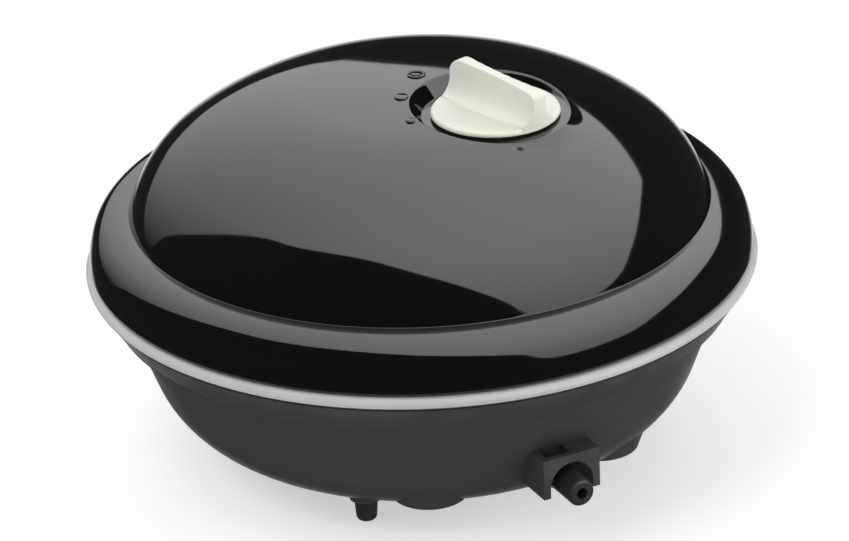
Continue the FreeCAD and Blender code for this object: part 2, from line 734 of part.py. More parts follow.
def fin_blank():
    """Side view of the fin, a little higher at its pointer end, cut to the knob's round outline."""
    reach = size.knob_radius - 0.15
    low = size.disc_top - 0.4
    front, back = size.fin_round_high, size.fin_round_low
    lean, rise = sin_of(size.fin_slope), cos_of(size.fin_slope)
    start = size.disc_top + size.fin_height - front
    nose = size.fin_front
    tip = (nose - front - front * lean, start + front * rise)
    end_x = back - reach - back * lean
    end_z = tip[1] - (tip[0] - end_x) * lean
    path = [
        (-reach, low), (nose, low), (nose, start), tip, (end_x, end_z),
        (-reach, end_z - back * rise),
    ]
    arcs = {2: (front, 1), 4: (back, 1)}
    slab = padded("fin_slab", "XZ_Plane", path, arcs, 8, (0, 0, 0))
    return common("fin_blank", slab, cylinder("fin_outline", reach, 12, (0, 0, low)))


def make_knob():
    edge = size.knob_radius - size.knob_round
    lower = [
        (size.shaft_radius, size.hub_low), (size.hub_radius, size.hub_low),
        (size.hub_radius, size.disc_low), (size.knob_radius, size.disc_low),
        (size.knob_radius, size.disc_top - size.knob_round), (edge, size.disc_top),
        (0, size.disc_top), (0, size.shaft_top), (size.shaft_radius, size.shaft_top),
    ]
    disc = turned("knob_disc", lower, {4: (size.knob_round, 1)})
    fin = cut("knob_fin", fin_blank(), scoop("scoop_a", 1), scoop("scoop_b", -1))
    knob = fuse("Knob", disc, fin)
    knob.Refine = True
    turn = Rotation(Vector(0, 0, 1), SIZES["fin_angle"])
    finish(place(knob, (size.knob_x, size.knob_y, 0), turn), "knob")


def make_shaft():
    at = (size.knob_x, size.knob_y, size.shaft_low)
    rod = cylinder("shaft_rod", size.shaft_radius, size.shaft_top - size.shaft_low, at)
    flat = box(
        "shaft_flat",
        (size.knob_x + 2.2, size.knob_y - 4, size.hub_low),
        (size.knob_x + 4, size.knob_y + 4, size.shaft_top + 1),
    )
    finish(cut("PotShaft", rod, flat), "pot_shaft")


def make_potentiometer():
    top = size.board_low + size.board_thick
    at = (size.knob_x, size.knob_y, top)
    can = cylinder("pot_can", size.pot_radius, size.pot_height, at)
    bush_at = (size.knob_x, size.knob_y, top + size.pot_height)
    bush = cylinder("pot_bush", size.bush_radius, size.bush_height, bush_at)
    block_low = (size.knob_x - 6, size.knob_y - 11, top)
    tabs = box("pot_tabs", block_low, (size.knob_x + 6, size.knob_y, top + 3))
    bore_at = (size.knob_x, size.knob_y, size.shaft_low)
    bore = cylinder("pot_bore", size.shaft_radius + size.pot_clearance, 12, bore_at)
    finish(cut("PotBody", fuse("pot_solid", can, bush, tabs), bore), "pot_body")


def make_board():
    low = (size.board_x_min, size.board_y_min, size.board_low)
    high = (size.board_x_max, size.board_y_max, size.board_low + size.board_thick)
    plate = box("board_plate", low, high)
    holes = [
        cylinder(f"board_hole{number}", size.board_screw + 0.2, 4, (across, along, size.board_low - 1))
        for number, (across, along) in enumerate(board_corners())
    ]
    finish(cut("CircuitBoard", plate, *holes), "circuit_board")
    top = size.board_low + size.board_thick
    parts = [
        cylinder("capacitor_a", 4, 8, (-9, -5, top)),
        cylinder("capacitor_b", 2.5, 6, (-2, -1, top)),
        box("switch_chip", (-13, -20, top), (-8.5, -10, top + 10)),
        box("terminal_block", (16, -4, top), (24, 3, top + 7)),
        box("relay_can", (18, -23, top), (26, -17, top + 6)),
    ]
    for number, along in enumerate((-8, -12)):
        parts.append(cylinder(f"resistor{number}", 1.2, 7, (19, along, top + 1.2), "x"))
    finish(group("BoardParts", parts), "board_parts")
    screws = []
    for number, (across, along) in enumerate(board_corners()):
        head = (across, along, size.board_low - size.board_head_height)
        shank = (across, along, size.board_low)
        length = size.board_thick + size.board_screw_length - 0.5
        body = fuse(
            f"board_screw{number}_body",
            cylinder(f"board_screw{number}_head", size.board_head, size.board_head_height, head),
            cylinder(f"board_screw{number}_shank", size.board_screw, length, shank),
        )
        recess = cross_slot(f"board_screw{number}", across, along, head[2], 1.5)
        screws.append(cut(f"board_screw{number}", body, *recess))
    finish(group("BoardScrews", screws), "board_screws")


# ---- magnet, coil and arm ----


def make_core():
    limb, half = size.core_limb, size.core_half
    back, face = size.core_back, size.core_face
    gap = half - limb
    path = [
        (back, -half), (face, -half), (face, -gap), (back + limb, -gap), (back + limb, -limb),
        (face, -limb), (face, limb), (back + limb, limb), (back + limb, gap), (face, gap),
        (face, half), (back, half),
    ]
    stack = padded("core_stack", "XZ_Plane", path, {}, size.core_depth * 2, (0, 0, size.arm_z))
    holes = []
    screws = []
    for number, side in enumerate((-1, 1)):
        level = size.arm_z + size.core_bolt_rise * side
        start = (size.core_bolt_x, -size.core_depth - 1, level)
        holes.append(cylinder(f"core_hole{number}", size.core_hole, 20, start, "y"))
        length = size.core_depth * 2 + size.core_wall
        start = (size.core_bolt_x, -size.core_depth, level)
        shank = cylinder(f"core_shank{number}", size.core_screw, length, start, "y")
        start = (size.core_bolt_x, -size.core_depth - size.core_head_height, level)
        head = cylinder(f"core_head{number}", size.core_head, size.core_head_height, start, "y")
        slot = box(
            f"core_slot{number}",
            (size.core_bolt_x - 2, -size.core_depth - 3, level - 0.4),
            (size.core_bolt_x + 2, -size.core_depth - 1, level + 0.4),
        )
        screws.append(cut(f"core_screw{number}", fuse(f"core_screw{number}_body", shank, head), slot))
    finish(cut("MagnetCore", stack, *holes), "magnet_core")
    finish(group("CoreScrews", screws), "core_screws")


def make_coil():
    back, face = size.bobbin_back, size.bobbin_face
    hole_y = size.core_depth + size.bobbin_gap
    hole_z = size.core_limb + size.bobbin_gap
    tube_y, tube_z = hole_y + size.bobbin_wall, hole_z + size.bobbin_wall
    middle = (back + face) * 0.5
    centre = (middle, 0, size.arm_z)
    shapes = [
        padded("bobbin_tube", "YZ_Plane", four_corners(tube_y, tube_z), {}, face - back, centre)
    ]
    outline, arcs = rounded_rectangle(size.bobbin_y, size.bobbin_tall, as_val(3))
    for number, across in enumerate((back + size.cheek * 0.5, face - size.cheek * 0.5)):
        at = (across, 0, size.arm_z)
        shapes.append(padded(f"bobbin_cheek{number}", "YZ_Plane", outline, arcs, size.cheek, at))
    hole = padded("bobbin_hole", "YZ_Plane", four_corners(hole_y, hole_z), {}, face - back + 2, centre)
    finish(cut("CoilBobbin", fuse("bobbin_solid", *shapes), hole), "coil_bobbin")
    outline, arcs = rounded_rectangle(size.coil_y, size.coil_tall, size.coil_round)
    length = face - back - size.cheek * 2
    wound = padded("coil_block", "YZ_Plane", outline, arcs, length, centre)
    inner = padded("coil_hole", "YZ_Plane", four_corners(tube_y, tube_z), {}, length + 2, centre)
    finish(cut("CoilWinding", wound, inner), "coil_winding")


def make_arm():
    level = size.arm_z
    thick, half = size.arm_thick, size.arm_half
    plate_face = size.core_face + size.magnet_gap + size.magnet_thick
    bar = box("arm_bar", (plate_face, -half, level - thick), (size.pivot_x, half, level + thick))
    hub_at = (size.pivot_x, -size.arm_hub_half, level)
    hub = cylinder("arm_hub", size.arm_hub, size.arm_hub_half * 2, hub_at, "y")
    tall = size.arm_plate_tall
    plate = box(
        "arm_plate",
        (plate_face, -size.core_depth, level - tall),
        (plate_face + size.arm_plate, size.core_depth, level + tall),
    )
    seat = diaphragm_top()
    boss = cylinder("arm_boss", size.clamp_radius, level - seat, (size.chamber_x, 0, seat))
    bore_at = (size.pivot_x, -size.pin_half, level)
    bore = cylinder("arm_bore", size.pin_radius + size.pin_clearance, 18, bore_at, "y")
    screw_way = cylinder("arm_screw_way", size.clamp_screw, 20, (size.chamber_x, 0, seat - 1))
    finish(cut("SwingArm", fuse("arm_solid", bar, hub, plate, boss), bore, screw_way), "swing_arm")
    magnet = box(
        "ArmMagnet",
        (plate_face - size.magnet_thick, -size.core_depth, level - size.magnet_tall),
        (plate_face, size.core_depth, level + size.magnet_tall),
    )
    finish(magnet, "arm_magnet")
    pin_at = (size.pivot_x, -size.pin_half, level)
    finish(cylinder("PivotPin", size.pin_radius, size.pin_half * 2, pin_at, "y"), "pivot_pin")


# ---- pumping chamber ----


def chamber_floor():
    return size.housing_top + size.valve_plate


def diaphragm_low():
    return chamber_floor() + size.chamber_ring


def diaphragm_top():
    return diaphragm_low() + size.diaphragm


def chamber_bolts(name, radius, low, length):
    """Cylinders at the four bolt places around the chamber."""
    shapes = []
    for number, (sx, sy) in enumerate(corners()):
        reach = size.bolt_circle * math.sqrt(0.5)
        at = (size.chamber_x + reach * sx, reach * sy, low)
        shapes.append(cylinder(f"{name}{number}", radius, length, at))
    return shapes


def round_slab(name, radius, low, tall):
    return cylinder(name, radius, tall, (size.chamber_x, 0, low))


def make_valve_housing():
    low, top = size.housing_low, size.housing_top
    spigot_at = (0, -size.spigot_end, size.nozzle_z)
    outer = fuse(
        "housing_solid",
        round_slab("housing_round", size.chamber_radius, low, top - low),
        cylinder("housing_spigot", size.barb_radius, size.spigot_end - 14, spigot_at, "y"),
    )
    inner_low = low + size.housing_floor
    room = round_slab("housing_room", size.housing_bore, inner_low, top - inner_low + 1)
    half = size.divider_half
    divider = box("housing_divider", (-20, -half, 0), (30, half, top + 2))
    tools = [cut("housing_rooms", room, divider)]
    tools.append(cylinder("spigot_bore", size.nozzle_bore, 18, (0, -size.spigot_end - 1, size.nozzle_z), "y"))
    intake_at = (size.chamber_x, size.housing_bore - 2, size.nozzle_z)
    tools.append(cylinder("intake_hole", size.intake_radius, 10, intake_at, "y"))
    tools += chamber_bolts("housing_bolt", size.bolt_radius, size.bolt_low, 20)
    finish(cut("ValveHousing", outer, *tools), "valve_housing")


def make_valve_plate():
    tools = chamber_bolts("plate_bolt", size.bolt_radius, size.housing_top - 1, 6)
    for number, side in enumerate((-1, 1)):
        at = (size.chamber_x, size.port_y * side, size.housing_top - 1)
        tools.append(cylinder(f"port{number}", size.port_radius, 5, at))
    slab = round_slab("plate_slab", size.chamber_radius, size.housing_top, size.valve_plate)
    finish(cut("ValvePlate", slab, *tools), "valve_plate")
    near, far, half = size.flap_near, size.flap_far, size.flap_half
    left, right = size.chamber_x - half, size.chamber_x + half
    top = chamber_floor()
    inlet = box("InletFlap", (left, near, top), (right, far, top + size.flap_thick))
    finish(inlet, "inlet_flap")
    low = size.housing_top - size.flap_thick
    outlet = box("OutletFlap", (left, -far, low), (right, -near, size.housing_top))
    finish(outlet, "outlet_flap")


def make_chamber_rings():
    for name, low, tall, label in (
        ("ChamberRing", chamber_floor(), size.chamber_ring, "chamber_ring"),
        ("ClampRing", diaphragm_top(), size.clamp_ring, "clamp_ring"),
    ):
        slab = round_slab(name + "_slab", size.chamber_radius, low, tall)
        bore = round_slab(name + "_bore", size.chamber_bore, low - 1, tall + 2)
        bolts = chamber_bolts(name + "_bolt", size.bolt_radius, low - 1, tall + 2)
        finish(cut(name, slab, bore, *bolts), label)


def make_diaphragm():
    """A rubber disc with one rolled ring between its clamped rim and its clamped middle."""
    low, top = diaphragm_low(), diaphragm_top()
    inner, outer = size.roll_mid - size.roll_radius * 1.3, size.roll_mid + size.roll_radius * 1.3
    roll = size.roll_radius * 1.5
    path = [
        (size.clamp_screw, low), (inner, low), (outer, low), (size.chamber_radius, low),
        (size.chamber_radius, top), (outer + 0.4, top), (inner - 0.4, top), (size.clamp_screw, top),
    ]
    arcs = {1: (roll, -1), 5: (roll + 0.8, 1)}
    disc = turned("diaphragm_disc", path, arcs, (size.chamber_x, 0, 0))
    bolts = chamber_bolts("diaphragm_bolt", size.bolt_radius, low - 1, 6)
    finish(cut("Diaphragm", disc, *bolts), "diaphragm")


def make_clamp():
    low = diaphragm_low()
    plate = round_slab("clamp_disc", size.clamp_radius, low - size.clamp_plate, size.clamp_plate)
    hole = round_slab("clamp_hole", size.clamp_screw, low - size.clamp_plate - 1, 4)
    finish(cut("ClampPlate", plate, hole), "clamp_plate")
    head_low = low - size.clamp_plate - size.clamp_head_height
    head = round_slab("clamp_screw_head", size.clamp_head, head_low, size.clamp_head_height)
    shank_low = low - size.clamp_plate
    shank = round_slab("clamp_shank", size.clamp_screw, shank_low, size.arm_z - shank_low)
    slots = cross_slot("clamp_screw", size.chamber_x, as_val(0), head_low, 1.6)
    finish(cut("ClampScrew", fuse("clamp_screw_solid", head, shank), *slots), "clamp_screw")


def make_chamber_screws():
    top = diaphragm_top() + size.clamp_ring
    shanks = chamber_bolts("bolt_shank", size.bolt_radius, size.bolt_low, top - size.bolt_low)
    heads = chamber_bolts("bolt_cap", size.bolt_head, top, size.bolt_head_height)
    screws = []
    for number, (sx, sy) in enumerate(corners()):
        reach = size.bolt_circle * math.sqrt(0.5)
        across, along = size.chamber_x + reach * sx, reach * sy
        slots = cross_slot(f"bolt{number}", across, along, top + size.bolt_head_height, 1.4)
        body = fuse(f"bolt_body{number}", shanks[number], heads[number])
        screws.append(cut(f"bolt{number}", body, *slots))
    finish(group("ChamberScrews", screws), "chamber_screws")


# ---- air path and power lead ----


def make_nozzle():
    """Turned about the outlet axis; the profile's height runs outwards along -Y."""
    seat, tip = size.nozzle_seat, size.nozzle_tip
    body, edge = size.nozzle_radius, size.nozzle_round
    back = seat - size.flange_width
    path = [
        (size.nozzle_bore, size.barb_end), (size.barb_radius, size.barb_end), (size.barb_radius, back),
        (size.nozzle_flange, back), (size.nozzle_flange, seat), (size.root_radius, seat),
        (size.root_radius, size.root_end), (body, size.root_end), (body, tip - edge),
        (body - edge, tip), (size.nozzle_bore, tip),
    ]
    turn = Rotation(Vector(1, 0, 0), 90)
    nozzle = turned("OutletNozzle", path, {8: (edge, 1)}, (0, 0, size.nozzle_z), turn)
    finish(nozzle, "outlet_nozzle")


def make_hose():
    start = (0, -size.hose_end, size.nozzle_z)
    length = size.hose_end - 17
    outer = cylinder("hose_outer", size.hose_radius, length, start, "y")
    bore_at = (0, -size.hose_end - 1, size.nozzle_z)
    inner = cylinder("hose_inner", size.barb_radius, length + 2, bore_at, "y")
    finish(cut("AirHose", outer, inner), "air_hose")


def make_filter():
    low = size.floor_z + size.cap_thick
    at = (size.filter_x, size.filter_y, low)
    finish(cylinder("IntakeFelt", size.filter_radius, size.filter_top - low, at), "intake_felt")
    at = (size.filter_x, size.filter_y, size.floor_z)
    disc = cylinder("cap_disc", size.filter_radius, size.cap_thick, at)
    slots = []
    for number, shift in enumerate((-2.6, 0, 2.6)):
        along = size.filter_y + shift
        half = 4.2 - abs(shift) * 0.35
        slots.append(box(
            f"cap_slot{number}",
            (size.filter_x - half, along - size.cap_slot * 0.5, size.floor_z - 1),
            (size.filter_x + half, along + size.cap_slot * 0.5, low + 1),
        ))
    finish(cut("FilterCap", disc, *slots), "filter_cap")


def make_gland():
    """Ribbed strain relief; the profile's height runs outwards along +Y."""
    wall_in, wall_out = size.cord_boss_in, size.cord_boss_y
    bore, tip = size.cord_radius, wall_out + size.gland_length
    path = [
        (bore, wall_in - 1.5), (size.gland_flange, wall_in - 1.5), (size.gland_flange, wall_in),
        (size.gland_neck, wall_in), (size.gland_neck, wall_out), (size.gland_flange, wall_out),
    ]
    ribs = 4
    pitch = (size.gland_length - 1) * (1 / ribs)
    for rib in range(ribs):
        shrink = (size.gland_flange - size.gland_tip) * (rib / ribs)
        radius = size.gland_flange - shrink
        start = wall_out + pitch * rib
        path.append((radius, start + pitch * 0.6))
        path.append((radius - 0.9, start + pitch * 0.6))
        path.append((radius - 0.9, start + pitch))
        if rib < ribs - 1:
            following = size.gland_flange - (size.gland_flange - size.gland_tip) * ((rib + 1) / ribs)
            path.append((following, start + pitch))
    path += [(size.gland_tip - 0.6, tip), (bore, tip)]
    turn = Rotation(Vector(1, 0, 0), -90)
    finish(turned("CordGland", path, {}, (0, 0, size.cord_z), turn), "cord_gland")


def make_cord():
    turn = size.cord_turn
    level, rise = size.cord_z, size.cord_rise_z
    run, end = size.cord_run_y, size.cord_board_y
    path = [
        (size.cord_end, level), (run + turn, level), (run, level + turn), (run, rise - turn),
        (run - turn, rise), (end + turn, rise), (end, rise + turn), (end, size.board_low),
    ]
    arcs = {1: (turn, -1), 3: (turn, 1), 5: (turn, -1)}
    start = (0, level, -size.cord_end)
    cord = piped("PowerLead", "YZ_Plane", path, arcs, "XZ_Plane", size.cord_radius, start)
    finish(cord, "power_lead")


def make_coil_leads():
    """Two fine wires from the top of the winding up to the circuit board."""
    top = size.arm_z + size.coil_tall
    turn = size.wire_turn
    begin, finish_x, level = size.wire_x, size.wire_board_x, size.wire_z
    path = [
        (begin, top), (begin, level - turn), (begin + turn, level),
        (finish_x - turn, level), (finish_x, level + turn), (finish_x, size.board_low),
    ]
    arcs = {1: (turn, -1), 3: (turn, 1)}
    wires = []
    for number, side in enumerate((-1, 1)):
        along = size.wire_pitch * side - size.wire_y
        start = (begin, along, top)
        name = f"coil_wire{number}"
        wires.append(piped(name, "XZ_Plane", path, arcs, "XY_Plane", size.wire_radius, start, -along))
    finish(group("CoilLeads", wires), "coil_leads")


def check_and_export():
    doc.recompute()
    os.makedirs("parts", exist_ok=True)
    faults = []
    for obj in doc.Objects:
        if "Invalid" in obj.State or "Error" in obj.State:
            faults.append(f"{obj.Name}: {obj.State}")
    for node in nodes:
        shape = node.Shape
        if shape.isNull() or not shape.isValid():
            faults.append(f"{node.Label}: shape")
    if faults:
        raise RuntimeError("; ".join(faults))
    for node in nodes:
        node.Shape.exportStep(f"parts/{node.Label}.step")
        bounds = node.Shape.BoundBox
        print(
            f"{node.Label:16s} solids {len(node.Shape.Solids)} volume {node.Shape.Volume:10.1f}"
            f" z {bounds.ZMin:.2f} to {bounds.ZMax:.2f}"
        )


fill_sheet()
make_cover()
make_trim_ring()
make_base()
make_case_screws()
make_feet()
make_knob()
make_shaft()
make_potentiometer()
make_board()
make_core()
make_coil()
make_arm()
make_valve_housing()
make_valve_plate()
make_chamber_rings()
make_diaphragm()
make_clamp()
make_chamber_screws()
make_nozzle()
make_hose()
make_filter()
make_gland()
make_cord()
make_coil_leads()
check_and_export()
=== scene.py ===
import json
import math

import bmesh
import bpy
from mathutils import Matrix, Vector


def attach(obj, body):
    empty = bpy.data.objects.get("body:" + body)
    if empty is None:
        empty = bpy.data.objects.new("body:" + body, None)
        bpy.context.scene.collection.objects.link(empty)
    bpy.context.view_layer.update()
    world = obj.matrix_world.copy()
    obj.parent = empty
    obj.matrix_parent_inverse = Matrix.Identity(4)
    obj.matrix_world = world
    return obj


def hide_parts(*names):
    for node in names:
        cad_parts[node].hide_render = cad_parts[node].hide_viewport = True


# Aquarium air pump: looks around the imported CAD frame. The pump's own sizes are in millimetres and
# the studio's are in metres. Heights are above the ground, and the pump's axis is x = y = 0.

MM = 0.001
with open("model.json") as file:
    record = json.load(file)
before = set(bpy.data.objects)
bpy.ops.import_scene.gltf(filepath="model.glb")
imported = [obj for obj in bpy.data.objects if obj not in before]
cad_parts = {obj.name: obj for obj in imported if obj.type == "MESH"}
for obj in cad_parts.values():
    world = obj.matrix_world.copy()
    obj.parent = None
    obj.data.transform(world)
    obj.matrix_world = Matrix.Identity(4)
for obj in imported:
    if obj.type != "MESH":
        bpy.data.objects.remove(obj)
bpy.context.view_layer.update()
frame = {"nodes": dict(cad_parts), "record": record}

# Cover, with the same shape as in the CAD.
SEGMENTS = 320
WALL = 2.2
SEAM_Z = 41.0
APEX_Z = 76.84
# Arcs of its profile from the top down: (radius, start, end), in degrees from straight up.
DOME_ARCS = [(214.0, 0.0, 5.683), (56.3, 5.683, 37.2), (25.04, 37.2, 73.97)]
BRIM_ARCS = [(10.199, 0.0, 26.721), (6.138, 26.721, 67.073), (13.396, 67.073, 90.0)]
HEM_ARCS = [(1.223, 90.0, 166.6)]
CREASE = 0.12
DOME_ROWS = 84
ROW_SPREAD = 0.9
INNER_ROWS = 30

# Ledge round the knob: its wall flares outwards by FLARE for each unit of height where the dome is
# higher, and its flank falls away by 1 for each FLANK where the dome is lower.
KNOB = (9.5, -16.1)
LEDGE_RADIUS = 14.7
LEDGE_Z = 73.9
LEDGE_REACH = 19.2
LEDGE_ROWS = 30
FLARE = 0.8
FLANK = 1.41
FLANK_ROUND = 0.8
RIM_ROUND = 0.35
HOLE_RADIUS = 5.0
HOLE_ROUND = 0.3
PLUG_RADIUS = 18.0
UNDER_Z = 71.7

# Marks: (degrees round the knob, distance from it, radius, whether it is a ring with a dot).
MARKS = ((110.7, 20.9, 1.85, True), (142.7, 18.8, 1.4, False), (175.9, 18.2, 0.95, False))
MARK_ROOT = -0.5
MARK_TOP = 0.3
MARK_SHOULDER = MARK_TOP - 0.12
MARK_RING_WIDTH = 0.5
DOT_RADIUS = 0.95

# Posts inside the cover. SINK is how far their tops stay under the outside of the dome.
CASE_POST = (19.26, 38.06)
CASE_POST_RADIUS = 4.2
CASE_POST_FOOT = 15.0
CASE_BORE = (1.5, 29.0)
BOARD_POST_X = (-14.5, 28.5)
BOARD_POST_Y = (-26.5, 2.5)
BOARD_POST_RADIUS = 3.0
BOARD_POST_FOOT = 60.5
BOARD_BORE = (1.25, 67.6)
SINK = 0.6

# Trim ring: its bead is an arc from the seam, and BEAD_UNDER is the round under the bead.
RING_INNER = 63.2
RING_STEP = 66.1
RING_FOOT = 38.0
BEAD_START = (66.15, SEAM_Z)
BEAD_ARC = (2.026, 0.0, 66.0)
BEAD_UNDER = [(67.98, 39.75), (67.95, 39.4), (67.75, 39.05), (67.4, 38.8), (66.95, 38.7), (66.1, 38.68)]

# Knob: the size and number of rounds of the softening of its CAD mesh.
KNOB_VOXEL = 0.16
KNOB_ROUNDS = 9


# ---------------------------------------------------------------- node materials


class Graph:
    """Short calls for building a node tree."""

    def __init__(self, name):
        self.material = bpy.data.materials.new(name)
        self.material.use_nodes = True
        self.tree = self.material.node_tree
        self.tree.nodes.clear()
        self.output = self.node("ShaderNodeOutputMaterial")
        self.shader = self.node("ShaderNodeBsdfPrincipled")
        self.link(self.shader.outputs["BSDF"], self.output.inputs["Surface"])
        self.place = self.node("ShaderNodeTexCoord").outputs["Object"]

    def node(self, kind, **values):
        item = self.tree.nodes.new(kind)
        for key, value in values.items():
            setattr(item, key, value)
        return item

    def link(self, source, target):
        self.tree.links.new(source, target)

    def put(self, socket, value):
        if isinstance(value, bpy.types.NodeSocket):
            self.link(value, socket)
        else:
            socket.default_value = value

    def noise(self, scale, detail=4.0, rough=0.5, at=None):
        item = self.node("ShaderNodeTexNoise")
        self.put(item.inputs["Vector"], at or self.place)
        item.inputs["Scale"].default_value = scale
        item.inputs["Detail"].default_value = detail
        item.inputs["Roughness"].default_value = rough
        return item.outputs["Fac"]

    def cells(self, scale, feature="F1"):
        item = self.node("ShaderNodeTexVoronoi", feature=feature)
        self.put(item.inputs["Vector"], self.place)
        item.inputs["Scale"].default_value = scale
        return item.outputs["Distance"]

    def stretch(self, factors):
        item = self.node("ShaderNodeMapping")
        self.put(item.inputs["Vector"], self.place)
        item.inputs["Scale"].default_value = factors
        return item.outputs["Vector"]

    def remap(self, value, low, high, out_low, out_high):
        item = self.node("ShaderNodeMapRange")
        self.put(item.inputs["Value"], value)
        for key, number in zip(("From Min", "From Max", "To Min", "To Max"), (low, high, out_low, out_high)):
            item.inputs[key].default_value = number
        return item.outputs["Result"]

    def math(self, kind, first, second=0.0):
        item = self.node("ShaderNodeMath", operation=kind)
        self.put(item.inputs[0], first)
        self.put(item.inputs[1], second)
        return item.outputs[0]

    def mix(self, factor, first, second):
        item = self.node("ShaderNodeMix", data_type="RGBA")
        self.put(item.inputs[0], factor)
        self.put(item.inputs[6], first)
        self.put(item.inputs[7], second)
        return item.outputs[2]

    def bump(self, height, strength, distance, before=None):
        item = self.node("ShaderNodeBump")
        self.put(item.inputs["Height"], height)
        item.inputs["Strength"].default_value = strength
        item.inputs["Distance"].default_value = distance
        if before is not None:
            self.link(before, item.inputs["Normal"])
        return item.outputs["Normal"]

    def edge_wear(self, low=0.52, high=0.62):
        """1 along convex edges, 0 on flat surfaces."""
        point = self.node("ShaderNodeNewGeometry").outputs["Pointiness"]
        return self.remap(point, low, high, 0.0, 1.0)

    def set(self, **values):
        names = {
            "colour": "Base Color", "rough": "Roughness", "metal": "Metallic", "normal": "Normal",
            "coat": "Coat Weight", "coat_rough": "Coat Roughness", "specular": "Specular IOR Level",
            "subsurface": "Subsurface Weight", "sheen": "Sheen Weight", "ior": "IOR",
            "sub_radius": "Subsurface Radius", "sub_scale": "Subsurface Scale",
            "transmission": "Transmission Weight",
        }
        for key, value in values.items():
            self.put(self.shader.inputs[names[key]], value)
        return self.material


def rgb(red, green, blue):
    return (red, green, blue, 1.0)


def gloss_black():
    """Polished black moulding: a faint orange peel, hairline scratches and specks of dust."""
    g = Graph("gloss_black")
    hair = g.noise(900, 6, 0.7, g.stretch((1.0, 0.08, 1.0)))
    dust = g.remap(g.cells(700), 0.0, 0.06, 1.0, 0.0)
    sparse = g.remap(g.noise(60, 2), 0.62, 0.66, 0.0, 1.0)
    specks = g.math("MULTIPLY", dust, sparse)
    colour = g.mix(g.math("MULTIPLY", specks, 0.25), rgb(0.0045, 0.0043, 0.0040), rgb(0.10, 0.10, 0.10))
    haze = g.remap(g.noise(18, 5, 0.6), 0.35, 0.7, 0.045, 0.085)
    rough = g.math("ADD", haze, g.math("MULTIPLY", g.remap(hair, 0.6, 0.8, 0.0, 1.0), 0.02))
    normal = g.bump(g.noise(70, 2, 0.4), 0.012, 0.0004)
    return g.set(colour=colour, rough=rough, normal=normal, specular=0.5, ior=1.5)


def satin_grey():
    """The soft grey trim: faintly mottled satin."""
    g = Graph("satin_grey")
    cloud = g.remap(g.noise(35, 6, 0.6), 0.3, 0.7, 0.0, 1.0)
    colour = g.mix(cloud, rgb(0.44, 0.443, 0.44), rgb(0.49, 0.492, 0.487))
    normal = g.bump(g.noise(1800, 3, 0.6), 0.06, 0.0001)
    return g.set(colour=colour, rough=g.remap(cloud, 0, 1, 0.36, 0.44), normal=normal, specular=0.45)


def textured_plastic(name, dark, light, rough=(0.38, 0.50), grain=1500, depth=0.10):
    """Moulded plastic with a fine spark-eroded grain, cloudy colour and paler rubbed edges."""
    g = Graph(name)
    cloud = g.remap(g.noise(28, 6, 0.65), 0.3, 0.7, 0.0, 1.0)
    colour = g.mix(cloud, dark, light)
    rubbed = g.math("MULTIPLY", g.edge_wear(), g.remap(g.noise(120, 4), 0.4, 0.6, 0.2, 1.0))
    pale = tuple(min(1.0, channel * 1.7 + 0.01) for channel in light[:3]) + (1.0,)
    colour = g.mix(g.math("MULTIPLY", rubbed, 0.35), colour, pale)
    fine = g.noise(grain, 4, 0.65)
    pits = g.cells(grain * 0.9)
    height = g.math("ADD", fine, g.math("MULTIPLY", pits, 0.5))
    normal = g.bump(height, depth, 0.00012)
    roughness = g.remap(g.noise(90, 4), 0.3, 0.7, rough[0], rough[1])
    return g.set(colour=colour, rough=roughness, normal=normal, specular=0.42)


def ivory():
    """Ivory knob: slightly translucent, satin, with faint flow marks and painted shade in its folds."""
    g = Graph("ivory")
    flow = g.remap(g.noise(60, 5, 0.6, g.stretch((0.4, 1.0, 2.2))), 0.3, 0.7, 0.0, 1.0)
    colour = g.mix(flow, rgb(0.72, 0.725, 0.635), rgb(0.77, 0.775, 0.69))
    point = g.node("ShaderNodeNewGeometry").outputs["Pointiness"]
    # Painted shade: a darker, yellower colour in the concave folds, where the fin meets the disc.
    painted_fold_shade = g.remap(point, 0.44, 0.5, 0.35, 0.0)
    colour = g.mix(painted_fold_shade, colour, rgb(0.62, 0.60, 0.48))
    normal = g.bump(g.noise(1400, 3, 0.6), 0.03, 0.0001)
    return g.set(
        colour=colour, rough=g.remap(g.noise(70, 4), 0.3, 0.7, 0.34, 0.42), normal=normal,
        subsurface=0.25, sub_radius=(0.9, 0.85, 0.6), sub_scale=0.002, specular=0.45,
    )


def rubber(name="rubber", tone=0.013):
    g = Graph(name)
    bloom = g.remap(g.noise(45, 6, 0.7), 0.35, 0.7, 0.0, 1.0)
    colour = g.mix(bloom, rgb(tone, tone, tone), rgb(tone * 2.2, tone * 2.2, tone * 2.1))
    normal = g.bump(g.noise(1600, 5, 0.7), 0.18, 0.0001)
    return g.set(colour=colour, rough=g.remap(bloom, 0, 1, 0.55, 0.72), normal=normal, sheen=0.05)


def metal(name, dark, light, rough=(0.22, 0.38), stretch=(1.0, 1.0, 14.0)):
    """Plated or drawn metal with fine lines and a little tarnish."""
    g = Graph(name)
    lines = g.noise(700, 5, 0.6, g.stretch(stretch))
    stain = g.remap(g.noise(70, 6, 0.7), 0.45, 0.75, 0.0, 1.0)
    colour = g.mix(stain, light, dark)
    normal = g.bump(lines, 0.08, 0.00008)
    roughness = g.math("ADD", g.remap(lines, 0.3, 0.7, rough[0], rough[1]), g.math("MULTIPLY", stain, 0.12))
    return g.set(colour=colour, rough=roughness, metal=1.0, normal=normal)


